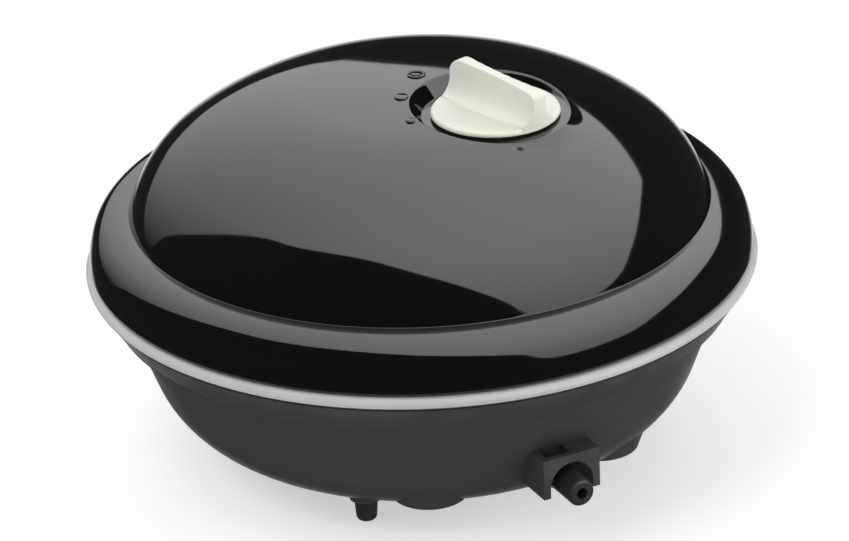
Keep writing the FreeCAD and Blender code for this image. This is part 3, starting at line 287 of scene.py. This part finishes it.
def laminated():
    """Stacked steel sheets: dark lines across the stack and rusty spots on the cut edges."""
    g = Graph("laminated")
    split = g.node("ShaderNodeSeparateXYZ")
    g.link(g.place, split.inputs[0])
    wave = g.math("FRACT", g.math("MULTIPLY", split.outputs["Y"], 2000.0))
    gap = g.remap(wave, 0.0, 0.16, 0.0, 1.0)
    rust = g.remap(g.noise(160, 6, 0.7), 0.58, 0.75, 0.0, 1.0)
    colour = g.mix(rust, rgb(0.30, 0.30, 0.31), rgb(0.20, 0.09, 0.04))
    colour = g.mix(gap, rgb(0.03, 0.03, 0.03), colour)
    normal = g.bump(gap, 0.5, 0.0001)
    return g.set(colour=colour, rough=0.42, metal=g.remap(rust, 0, 1, 0.9, 0.2), normal=normal)


def wound_copper():
    """Enamelled wire laid side by side round the bobbin."""
    g = Graph("wound_copper")
    split = g.node("ShaderNodeSeparateXYZ")
    g.link(g.place, split.inputs[0])
    turn = g.math("FRACT", g.math("MULTIPLY", split.outputs["X"], 3300.0))
    crown = g.math("SINE", g.math("MULTIPLY", turn, math.pi))
    varnish = g.remap(g.noise(90, 4), 0.3, 0.7, 0.0, 1.0)
    colour = g.mix(varnish, rgb(0.42, 0.13, 0.035), rgb(0.62, 0.24, 0.08))
    # Painted shade: the colour darkens towards the grooves between neighbouring turns of wire.
    colour = g.mix(g.remap(crown, 0.0, 0.5, 0.0, 1.0), rgb(0.05, 0.015, 0.005), colour)
    normal = g.bump(crown, 0.8, 0.0002)
    return g.set(colour=colour, rough=0.28, metal=0.85, normal=normal, coat=0.6, coat_rough=0.15)


def solder_board():
    """Green board with pale copper tracks under the mask."""
    g = Graph("solder_board")
    tracks = g.node("ShaderNodeTexBrick")
    g.put(tracks.inputs["Vector"], g.place)
    tracks.inputs["Scale"].default_value = 160
    tracks.inputs["Mortar Size"].default_value = 0.035
    tracks.inputs["Color1"].default_value = rgb(0.012, 0.10, 0.035)
    tracks.inputs["Color2"].default_value = rgb(0.016, 0.13, 0.045)
    tracks.inputs["Mortar"].default_value = rgb(0.05, 0.28, 0.09)
    cloud = g.remap(g.noise(50, 5), 0.3, 0.7, 0.0, 0.3)
    colour = g.mix(cloud, tracks.outputs["Color"], rgb(0.02, 0.07, 0.03))
    normal = g.bump(tracks.outputs["Fac"], 0.25, 0.0001)
    return g.set(colour=colour, rough=0.3, normal=normal, coat=0.4)


def felt():
    g = Graph("felt")
    fibre = g.noise(2600, 8, 0.8, g.stretch((1.0, 0.35, 1.0)))
    cloud = g.remap(g.noise(150, 5), 0.3, 0.7, 0.0, 1.0)
    colour = g.mix(cloud, rgb(0.52, 0.50, 0.44), rgb(0.70, 0.68, 0.62))
    normal = g.bump(fibre, 0.8, 0.0004)
    return g.set(colour=colour, rough=0.95, normal=normal, sheen=0.4)


def silicone():
    g = Graph("silicone")
    cloud = g.remap(g.noise(60, 5), 0.3, 0.7, 0.0, 1.0)
    colour = g.mix(cloud, rgb(0.42, 0.44, 0.42), rgb(0.52, 0.54, 0.52))
    normal = g.bump(g.noise(900, 3), 0.05, 0.0001)
    return g.set(
        colour=colour, rough=0.25, normal=normal, transmission=0.35, subsurface=0.2,
        sub_radius=(1.0, 1.0, 1.0), sub_scale=0.002,
    )


def build_materials():
    """One finish for each material slot of the record."""
    return {
        "cover": gloss_black(),
        "trim_ring": satin_grey(),
        "base": textured_plastic("satin_dark", rgb(0.043, 0.0422, 0.0402), rgb(0.051, 0.0498, 0.0472)),
        "black_rubber": rubber(),
        "knob": ivory(),
        "dark_plastic": textured_plastic(
            "dark_plastic", rgb(0.020, 0.020, 0.0195), rgb(0.027, 0.0265, 0.026)
        ),
        "steel": metal("zinc_steel", rgb(0.36, 0.35, 0.32), rgb(0.62, 0.62, 0.61)),
        "board": solder_board(),
        "components": textured_plastic(
            "components", rgb(0.018, 0.018, 0.02), rgb(0.035, 0.035, 0.038), (0.3, 0.4)
        ),
        "laminations": laminated(),
        "copper": wound_copper(),
        "bobbin": textured_plastic("nylon", rgb(0.55, 0.53, 0.45), rgb(0.63, 0.61, 0.53), (0.35, 0.45)),
        "magnet": textured_plastic(
            "ferrite", rgb(0.03, 0.03, 0.032), rgb(0.055, 0.055, 0.058), (0.45, 0.6), 900, 0.3
        ),
        "diaphragm": rubber("nitrile", 0.02),
        "chamber": textured_plastic("acetal", rgb(0.055, 0.055, 0.06), rgb(0.075, 0.075, 0.08), (0.3, 0.4)),
        "hose": silicone(),
        "felt": felt(),
        "wire": textured_plastic("wire_red", rgb(0.30, 0.015, 0.012), rgb(0.40, 0.02, 0.016), (0.35, 0.45)),
    }


materials = build_materials()
node_slots = {part["node"]: part["material_slot"] for part in frame["record"]["subparts"]}


# ---------------------------------------------------------------- mesh helpers


def add_piece(name, verts, faces, body, slot, replaces, sharp):
    """A mesh from millimetre points, riding on a body. sharp is an angle in degrees for hard edges."""
    mesh = bpy.data.meshes.new(name)
    mesh.from_pydata([Vector(point) * MM for point in verts], [], faces)
    mesh.validate()
    face_outwards(mesh)
    mesh.materials.append(materials[slot])
    obj = bpy.data.objects.new(name, mesh)
    bpy.context.scene.collection.objects.link(obj)
    mesh.shade_smooth()
    mesh.set_sharp_from_angle(angle=math.radians(sharp))
    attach(obj, body)
    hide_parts(*replaces)


def face_outwards(mesh):
    """Turns every closed shell's faces to point out of it."""
    work = bmesh.new()
    work.from_mesh(mesh)
    bmesh.ops.recalc_face_normals(work, faces=work.faces)
    work.to_mesh(mesh)
    work.free()


def band(rings, closed=True):
    """Vertices and quads joining equal rings of points; closed joins the last ring to the first."""
    size = len(rings[0])
    verts = [point for ring in rings for point in ring]
    faces = []
    count = len(rings) if closed else len(rings) - 1
    for row in range(count):
        here, there = row * size, ((row + 1) % len(rings)) * size
        for k in range(size):
            nxt = (k + 1) % size
            faces.append((here + k, here + nxt, there + nxt, there + k))
    return verts, faces


def circle(radius, height, centre=(0.0, 0.0), segments=SEGMENTS):
    points = []
    for k in range(segments):
        angle = 2 * math.pi * k / segments
        points.append((centre[0] + radius * math.cos(angle), centre[1] + radius * math.sin(angle), height))
    return points


def arcs_points(start, arcs, inset=0.0, step=3.0):
    """(radius, height) points along arcs that meet smoothly, starting at start."""
    points = [start]
    for radius, begin, end in arcs:
        radius -= inset
        across, up = points[-1]
        count = max(2, int(abs(end - begin) / step) + 1)
        for k in range(1, count + 1):
            angle = math.radians(begin + (end - begin) * k / count)
            first = math.radians(begin)
            points.append((
                across + radius * (math.sin(angle) - math.sin(first)),
                up + radius * (math.cos(angle) - math.cos(first)),
            ))
    return points


def dome_height(across, inset=0.0):
    """Height of the dome at a distance from the axis; inset gives the inside surface."""
    centre = (0.0, APEX_Z - DOME_ARCS[0][0])
    for index, (radius, begin, end) in enumerate(DOME_ARCS):
        if index:
            previous = DOME_ARCS[index - 1]
            shift = previous[0] - radius
            angle = math.radians(begin)
            centre = (centre[0] + shift * math.sin(angle), centre[1] + shift * math.cos(angle))
        if across <= centre[0] + (radius - inset) * math.sin(math.radians(end)):
            break
    reach = max(0.0, (radius - inset) ** 2 - (across - centre[0]) ** 2)
    return centre[1] + math.sqrt(reach)


def soft_corner(before, corner, after, reach, steps=4):
    """Points that round a corner of a profile, from the before side to the after side."""
    a = Vector(before) - Vector(corner)
    b = Vector(after) - Vector(corner)
    start = Vector(corner) + a.normalized() * min(reach, a.length * 0.45)
    end = Vector(corner) + b.normalized() * min(reach, b.length * 0.45)
    points = []
    for k in range(steps + 1):
        t = k / steps
        points.append(tuple(start * (1 - t) ** 2 + Vector(corner) * (2 * t * (1 - t)) + end * t**2))
    return points


def lathe_rings(profile, centre=(0.0, 0.0), segments=SEGMENTS):
    return [circle(radius, height, centre, segments) for radius, height in profile]


# ---------------------------------------------------------------- cover


def travelling_ring(share, height_of, inner_radius, outer_radius):
    """A ring between the ledge and the dome's edge; its centre travels from the knob to the axis."""
    radius = inner_radius + (outer_radius - inner_radius) * share
    centre = (KNOB[0] * (1 - share), KNOB[1] * (1 - share))
    return [(x, y, height_of(math.hypot(x, y))) for x, y, _ in circle(radius, 0.0, centre)]


def soft_max(a, b, reach):
    """The larger of two heights, with the crease between them rounded."""
    blend = max(reach - abs(a - b), 0.0) / reach
    return max(a, b) + blend * blend * reach * 0.25


def ledge_height(x, y):
    """The dome with the knob's ledge let into it on the high side and raised on the low side."""
    away = math.hypot(x - KNOB[0], y - KNOB[1]) - LEDGE_RADIUS
    dome = dome_height(math.hypot(x, y))
    raised = soft_max(dome, LEDGE_Z - away / FLANK, FLANK_ROUND)
    return -soft_max(-raised, -(LEDGE_Z + away / FLARE), RIM_ROUND)


def ledge_rings():
    """From the hole in the ledge out to the dome beyond its rim."""
    rings = lathe_rings([
        (HOLE_RADIUS, LEDGE_Z - HOLE_ROUND), (HOLE_RADIUS + HOLE_ROUND, LEDGE_Z), (9.0, LEDGE_Z),
        (13.0, LEDGE_Z), (14.0, LEDGE_Z), (14.4, LEDGE_Z),
    ], KNOB)
    for step in range(LEDGE_ROWS + 1):
        radius = LEDGE_RADIUS + (LEDGE_REACH - LEDGE_RADIUS) * step / LEDGE_ROWS
        rings.append([(x, y, ledge_height(x, y)) for x, y, _ in circle(radius, 0.0, KNOB)])
    return rings


def dome_rings(edge_radius):
    """From the ledge out to the crease between the dome and the brim."""
    shares = [(k / DOME_ROWS) ** ROW_SPREAD for k in range(1, DOME_ROWS)]
    return [travelling_ring(share, dome_height, LEDGE_REACH, edge_radius) for share in shares]


def brim_outside(edge):
    """The crease, the brim and its hem, down to the seam."""
    brim = arcs_points(edge, BRIM_ARCS + HEM_ARCS, step=2.5)
    brim[-1] = (brim[-1][0], SEAM_Z)
    before = (edge[0] - CREASE, dome_height(edge[0] - CREASE))
    return [before] + soft_corner(before, edge, brim[1], CREASE, 3) + brim[1:]


def brim_inside(edge, inner_edge):
    """From the seam back up to the edge of the dome's inside."""
    brim = arcs_points((edge[0], edge[1] - WALL), BRIM_ARCS, WALL, 6.0)
    return [(brim[-1][0], SEAM_Z)] + brim[::-1] + [inner_edge]


def inner_dome_rings(edge_radius):
    """The inside of the dome, from its edge in to the plug under the ledge."""
    reach = edge_radius - 0.01
    shares = [1 - k / INNER_ROWS for k in range(1, INNER_ROWS + 1)]
    return [travelling_ring(share, lambda r: dome_height(r, WALL), PLUG_RADIUS, reach) for share in shares]


def underside_rings():
    """The plug under the ledge, where it stands clear of the inside of the dome."""
    edge = []
    for x, y, _ in circle(PLUG_RADIUS, 0.0, KNOB):
        edge.append((x, y, min(UNDER_Z, dome_height(math.hypot(x, y), WALL))))
    return [edge] + lathe_rings([(13.0, UNDER_Z), (HOLE_RADIUS, UNDER_Z)], KNOB)


def make_cover():
    edge = arcs_points((0.0, APEX_Z), DOME_ARCS)[-1]
    inner_edge = arcs_points((0.0, APEX_Z - WALL), DOME_ARCS, WALL)[-1]
    rings = ledge_rings() + dome_rings(edge[0])
    rings += lathe_rings(brim_outside(edge) + brim_inside(edge, inner_edge))
    rings += inner_dome_rings(inner_edge[0]) + underside_rings()
    verts, faces = band(rings)
    add_shells(verts, faces, cover_marks() + cover_posts())
    add_piece("cover_shell", verts, faces, "housing", "cover", ["cover"], sharp=42)


def add_shells(verts, faces, shells):
    """Adds further closed shells to one mesh."""
    for shell_verts, shell_faces in shells:
        base = len(verts)
        verts += shell_verts
        faces += [tuple(index + base for index in face) for face in shell_faces]


def closed_lathe(profile, centre, segments, lean=Matrix.Identity(3)):
    """A closed shell from a profile that starts and ends on the axis, leaned and then put in place."""
    rings = lathe_rings(profile[1:-1], (0.0, 0.0), segments)
    verts, faces = band(rings, closed=False)
    last = (len(rings) - 1) * segments
    for height, ring_start, flip in ((profile[0][1], 0, True), (profile[-1][1], last, False)):
        verts.append((0.0, 0.0, height))
        tip = len(verts) - 1
        for k in range(segments):
            pair = (ring_start + k, ring_start + (k + 1) % segments)
            faces.append((pair[1], pair[0], tip) if flip else (pair[0], pair[1], tip))
    return placed(verts, lean, centre), faces


def placed(verts, lean, centre):
    return [tuple(lean @ Vector(point) + Vector(centre)) for point in verts]


def mark_ring(radius, lean, centre):
    """The raised ring round the large mark's dot."""
    inner = radius - MARK_RING_WIDTH
    profile = [
        (inner, MARK_ROOT), (inner, MARK_SHOULDER), (inner + 0.14, MARK_TOP), (radius - 0.14, MARK_TOP),
        (radius, MARK_SHOULDER), (radius, MARK_ROOT),
    ]
    verts, faces = band(lathe_rings(profile, (0.0, 0.0), 48))
    return placed(verts, lean, centre), faces


def mark_disc(radius, lean, centre):
    profile = [
        (0, MARK_ROOT), (radius, MARK_ROOT), (radius, MARK_SHOULDER), (radius - 0.05, MARK_TOP - 0.05),
        (radius - 0.16, MARK_TOP), (0, MARK_TOP),
    ]
    return closed_lathe(profile, centre, 48, lean)


def cover_marks():
    """Raised marks beside the knob, square to the dome: a ring with a dot and two discs."""
    shells = []
    for angle, away, radius, ringed in MARKS:
        x = KNOB[0] + away * math.cos(math.radians(angle))
        y = KNOB[1] + away * math.sin(math.radians(angle))
        reach = math.hypot(x, y)
        slope = reach / DOME_ARCS[0][0]
        normal = Vector((x / reach * slope, y / reach * slope, 1)).normalized()
        lean = Vector((0, 0, 1)).rotation_difference(normal).to_matrix()
        centre = (x, y, dome_height(reach))
        if ringed:
            shells.append(mark_ring(radius, lean, centre))
        shells.append(mark_disc(DOT_RADIUS if ringed else radius, lean, centre))
    return shells


def post_top(x, y, radius):
    """Height of a post's top, inside the wall over its far side."""
    return dome_height(math.hypot(x, y) + radius) - SINK


def case_post(x, y):
    top = post_top(x, y, CASE_POST_RADIUS)
    bore, bore_end = CASE_BORE
    radius, foot = CASE_POST_RADIUS, CASE_POST_FOOT
    profile = [
        (0, bore_end), (bore, bore_end), (bore, foot), (radius - 0.3, foot), (radius, foot + 0.3),
        (radius, top - 2.5), (radius + 0.3, top - 1.0), (radius + 1.0, top - 0.1), (0, top),
    ]
    return closed_lathe(profile, (x, y, 0), 40)


def board_post(x, y):
    top = post_top(x, y, BOARD_POST_RADIUS)
    bore, bore_end = BOARD_BORE
    radius, foot = BOARD_POST_RADIUS, BOARD_POST_FOOT
    profile = [
        (0, bore_end), (bore, bore_end), (bore, foot), (radius - 0.2, foot), (radius, foot + 0.2),
        (radius, top - 1.0), (radius + 0.5, top), (0, top + 0.3),
    ]
    return closed_lathe(profile, (x, y, 0), 32)


def cover_posts():
    """Screw posts hanging inside the cover: long ones to the base, short ones to the board."""
    shells = [case_post(CASE_POST[0] * sx, CASE_POST[1] * sy) for sx in (-1, 1) for sy in (-1, 1)]
    return shells + [board_post(x, y) for x in BOARD_POST_X for y in BOARD_POST_Y]


# ---------------------------------------------------------------- trim ring


def make_trim_ring():
    path = [(RING_INNER, RING_FOOT), (RING_INNER, SEAM_Z)]
    path += arcs_points(BEAD_START, [BEAD_ARC], step=6) + BEAD_UNDER + [(RING_STEP, RING_FOOT)]
    verts, faces = band(lathe_rings(path))
    add_piece("trim_bead", verts, faces, "housing", "trim_ring", ["trim_ring"], sharp=50)


# ---------------------------------------------------------------- CAD nodes kept as they are


def dress_nodes():
    for name, node in frame["nodes"].items():
        node.data.materials.clear()
        node.data.materials.append(materials[node_slots[name]])
        if not node.hide_render:
            node.data.shade_smooth()
            node.data.set_sharp_from_angle(angle=math.radians(35))
    soften(frame["nodes"]["knob"], KNOB_VOXEL, KNOB_ROUNDS)


def soften(node, voxel, rounds):
    """Rounds the edges of a moulded part by remeshing it finely and smoothing."""
    fine = node.modifiers.new("fine", "REMESH")
    fine.mode = "VOXEL"
    fine.voxel_size = voxel * MM
    fine.use_smooth_shade = True
    ease = node.modifiers.new("ease", "SMOOTH")
    ease.factor = 0.5
    ease.iterations = rounds


# ---------------------------------------------------------------- studio


def emitter(name, place_at, aim, width, height, power):
    data = bpy.data.lights.new(name, "AREA")
    data.shape = "RECTANGLE"
    data.size = width
    data.size_y = height
    data.energy = power
    lamp = bpy.data.objects.new(name, data)
    bpy.context.scene.collection.objects.link(lamp)
    lamp.location = place_at
    lamp.rotation_euler = (Vector(aim) - Vector(place_at)).to_track_quat("-Z", "Y").to_euler()
    return lamp


# The view: distance in metres, sensor and lens in millimetres, shift in widths of the frame.
CAMERA_AZIMUTH = math.radians(-26.5)
CAMERA_LIFT = math.radians(25.502)
CAMERA_ROLL = math.radians(2.352)
CAMERA_DISTANCE = 0.9
CAMERA_SENSOR = 36.0
CAMERA_LENS = 188.349
CAMERA_SHIFT = (0.003734, -0.029988)
CAMERA_CLIP = 0.01

FLOOR_REACH = 3.0
FLOOR_LEVEL = -0.0002
FLOOR_GLOW = 0.52


def camera_axes():
    """Right, away and up directions of the view, level with the ground."""
    right = Vector((math.cos(CAMERA_AZIMUTH), math.sin(CAMERA_AZIMUTH), 0))
    away = Vector((-math.sin(CAMERA_AZIMUTH), math.cos(CAMERA_AZIMUTH), 0))
    return right, away, Vector((0, 0, 1))


def make_camera():
    right, away, up = camera_axes()
    view = away * math.cos(CAMERA_LIFT) - up * math.sin(CAMERA_LIFT)
    target = Vector((0, 0, SEAM_Z * MM))
    data = bpy.data.cameras.new("view")
    data.sensor_width = CAMERA_SENSOR
    data.lens = CAMERA_LENS
    data.shift_x, data.shift_y = CAMERA_SHIFT
    data.clip_start = CAMERA_CLIP
    camera = bpy.data.objects.new("view", data)
    bpy.context.scene.collection.objects.link(camera)
    camera.location = target - view * CAMERA_DISTANCE
    level = view.to_track_quat("-Z", "Y")
    camera.rotation_euler = (level.to_matrix() @ Matrix.Rotation(-CAMERA_ROLL, 3, "Z")).to_euler()
    bpy.context.scene.camera = camera


def make_floor():
    mesh = bpy.data.meshes.new("floor")
    signs = ((-1, -1), (1, -1), (1, 1), (-1, 1))
    corners = [(x * FLOOR_REACH, y * FLOOR_REACH, FLOOR_LEVEL) for x, y in signs]
    mesh.from_pydata(corners, [], [(0, 1, 2, 3)])
    floor = bpy.data.objects.new("floor", mesh)
    bpy.context.scene.collection.objects.link(floor)
    g = Graph("floor_white")
    tone = g.remap(g.noise(3.0, 3), 0.3, 0.7, 0.62, 0.65)
    g.set(colour=tone, rough=0.7, specular=0.1)
    g.shader.inputs["Emission Color"].default_value = rgb(1.0, 1.0, 1.0)
    g.shader.inputs["Emission Strength"].default_value = FLOOR_GLOW
    mesh.materials.append(g.material)
    floor.visible_glossy = False


# Outline of the overhead softbox as it is seen from the pump: (degrees round from the camera side
# towards the right, degrees up). Its light is a base and a slope along the view's right, away and up.
SOFTBOX = [
    (-128, -7), (-151, 4), (-164, 3), (-172, 9), (180, 20), (157, 27), (137, 30), (114, 29), (92, 19),
    (79, 8), (65, 3), (41, 4), (30, 22), (0, 52), (-38, 63), (-78, 56), (-95, 49), (-107, 27), (-118, 8),
]
SOFTBOX_REACH = 2.5
SOFTBOX_ROWS = 12
SOFTBOX_BASE = 1.13
SOFTBOX_SLOPE = (0.92, -0.17, 2.16)

# Lamps: (name, degrees round, degrees up, distance, width, height, watts), aimed at LAMP_AIM.
LAMPS = (
    ("key", -60, 55, 1.2, 0.9, 0.9, 7.5),
    ("fill", 88, 12, 1.4, 0.9, 0.7, 12),
    ("back", 170, 45, 1.4, 1.2, 0.8, 4),
)
LAMP_AIM = (0, 0, 0.03)

# World light, and the white sweep that polished surfaces reflect from behind and below: its middle as
# (degrees round, degrees up), and the degrees from there at which it starts to fade and is gone.
AMBIENT = 0.55
SWEEP = (180, -30)
SWEEP_FADE = (14, 26)
SWEEP_LIGHT = (0.03, 0.95)


def direction(azimuth, lift):
    """A direction measured round the camera's own azimuth."""
    right, away, up = camera_axes()
    turn, rise = math.radians(azimuth), math.radians(lift)
    return (right * math.sin(turn) - away * math.cos(turn)) * math.cos(rise) + up * math.sin(rise)


def reflection_only(obj):
    """Seen in polished surfaces and nowhere else."""
    obj.visible_camera = False
    obj.visible_diffuse = False
    obj.visible_transmission = False
    obj.visible_shadow = False
    obj.visible_volume_scatter = False


def flowing(points, steps=8):
    """A closed smooth curve through directions."""
    curve = []
    count = len(points)
    for k in range(count):
        a, b, c, d = (points[(k + shift) % count] for shift in (-1, 0, 1, 2))
        for step in range(steps):
            t = step / steps
            square = (a * 2 - b * 5 + c * 4 - d) * t**2
            cube = (b * 3 - a - c * 3 + d) * t**3
            curve.append((b * 2 + (c - a) * t + square + cube).normalized())
    return curve


def make_softbox():
    """A tent of light over the pump, cut to its outline; it shows only as a reflection."""
    rim = flowing([direction(*corner) for corner in SOFTBOX])
    middle = sum(rim, Vector()).normalized()
    verts = [middle * SOFTBOX_REACH]
    for row in range(1, SOFTBOX_ROWS + 1):
        share = row / SOFTBOX_ROWS
        verts += [middle.lerp(edge, share).normalized() * SOFTBOX_REACH for edge in rim]
    size = len(rim)
    faces = [(0, 1 + k, 1 + (k + 1) % size) for k in range(size)]
    for row in range(SOFTBOX_ROWS - 1):
        here, there = 1 + row * size, 1 + (row + 1) * size
        faces += [(here + k, there + k, there + (k + 1) % size, here + (k + 1) % size) for k in range(size)]
    mesh = bpy.data.meshes.new("softbox")
    mesh.from_pydata(verts, [], faces)
    tent = bpy.data.objects.new("softbox", mesh)
    bpy.context.scene.collection.objects.link(tent)
    mesh.materials.append(softbox_glow())
    reflection_only(tent)


def softbox_glow():
    """Light whose strength is a base plus a slope times the direction, along the camera's axes."""
    material = bpy.data.materials.new("softbox_glow")
    material.use_nodes = True
    tree = material.node_tree
    tree.nodes.clear()
    output = tree.nodes.new("ShaderNodeOutputMaterial")
    light = tree.nodes.new("ShaderNodeEmission")
    tree.links.new(light.outputs[0], output.inputs["Surface"])
    place = tree.nodes.new("ShaderNodeNewGeometry").outputs["Position"]
    dot = tree.nodes.new("ShaderNodeVectorMath")
    dot.operation = "DOT_PRODUCT"
    tree.links.new(place, dot.inputs[0])
    slope = sum((axis * rate for axis, rate in zip(camera_axes(), SOFTBOX_SLOPE)), Vector())
    dot.inputs[1].default_value = slope / SOFTBOX_REACH
    total = tree.nodes.new("ShaderNodeMath")
    total.inputs[1].default_value = SOFTBOX_BASE
    tree.links.new(dot.outputs["Value"], total.inputs[0])
    tree.links.new(total.outputs[0], light.inputs["Strength"])
    return material


def sweep_strength(tree):
    """Strong towards the middle of the sweep, and nearly nothing away from it."""
    seen = tree.nodes.new("ShaderNodeTexCoord").outputs["Generated"]
    behind = tree.nodes.new("ShaderNodeVectorMath")
    behind.operation = "DOT_PRODUCT"
    tree.links.new(seen, behind.inputs[0])
    behind.inputs[1].default_value = direction(*SWEEP)
    near = tree.nodes.new("ShaderNodeMapRange")
    tree.links.new(behind.outputs["Value"], near.inputs["Value"])
    near.interpolation_type = "SMOOTHSTEP"
    near.inputs["From Min"].default_value = math.cos(math.radians(SWEEP_FADE[1]))
    near.inputs["From Max"].default_value = math.cos(math.radians(SWEEP_FADE[0]))
    near.inputs["To Min"].default_value = SWEEP_LIGHT[0]
    near.inputs["To Max"].default_value = SWEEP_LIGHT[1]
    return near.outputs["Result"]


def choose(tree, ray_kind, usual, special):
    """The special shader for one kind of ray, and the usual one for the rest."""
    path = tree.nodes.new("ShaderNodeLightPath")
    mixer = tree.nodes.new("ShaderNodeMixShader")
    tree.links.new(path.outputs[ray_kind], mixer.inputs["Fac"])
    tree.links.new(usual.outputs[0], mixer.inputs[1])
    tree.links.new(special.outputs[0], mixer.inputs[2])
    return mixer


def make_world():
    """White to the camera, soft grey light for dull surfaces, and a white sweep behind in reflections."""
    world = bpy.data.worlds.new("studio")
    bpy.context.scene.world = world
    world.use_nodes = True
    tree = world.node_tree
    tree.nodes.clear()
    plain, sweep, white = (tree.nodes.new("ShaderNodeBackground") for _ in range(3))
    plain.inputs["Strength"].default_value = AMBIENT
    for item in (sweep, white):
        item.inputs["Color"].default_value = rgb(1.0, 1.0, 1.0)
    tree.links.new(sweep_strength(tree), sweep.inputs["Strength"])
    lit = choose(tree, "Is Glossy Ray", plain, sweep)
    shown = choose(tree, "Is Camera Ray", lit, white)
    output = tree.nodes.new("ShaderNodeOutputWorld")
    tree.links.new(shown.outputs[0], output.inputs["Surface"])


def make_lights():
    """Soft lamps for the dull surfaces; the polished ones see the softbox instead."""
    for name, azimuth, lift, distance, width, height, power in LAMPS:
        place_at = direction(azimuth, lift) * distance
        lamp = emitter(name, place_at, LAMP_AIM, width, height, power)
        lamp.visible_glossy = False


make_cover()
make_trim_ring()
dress_nodes()
make_camera()
make_floor()
make_softbox()
make_lights()
make_world()
bpy.context.scene.view_settings.view_transform = "Standard"
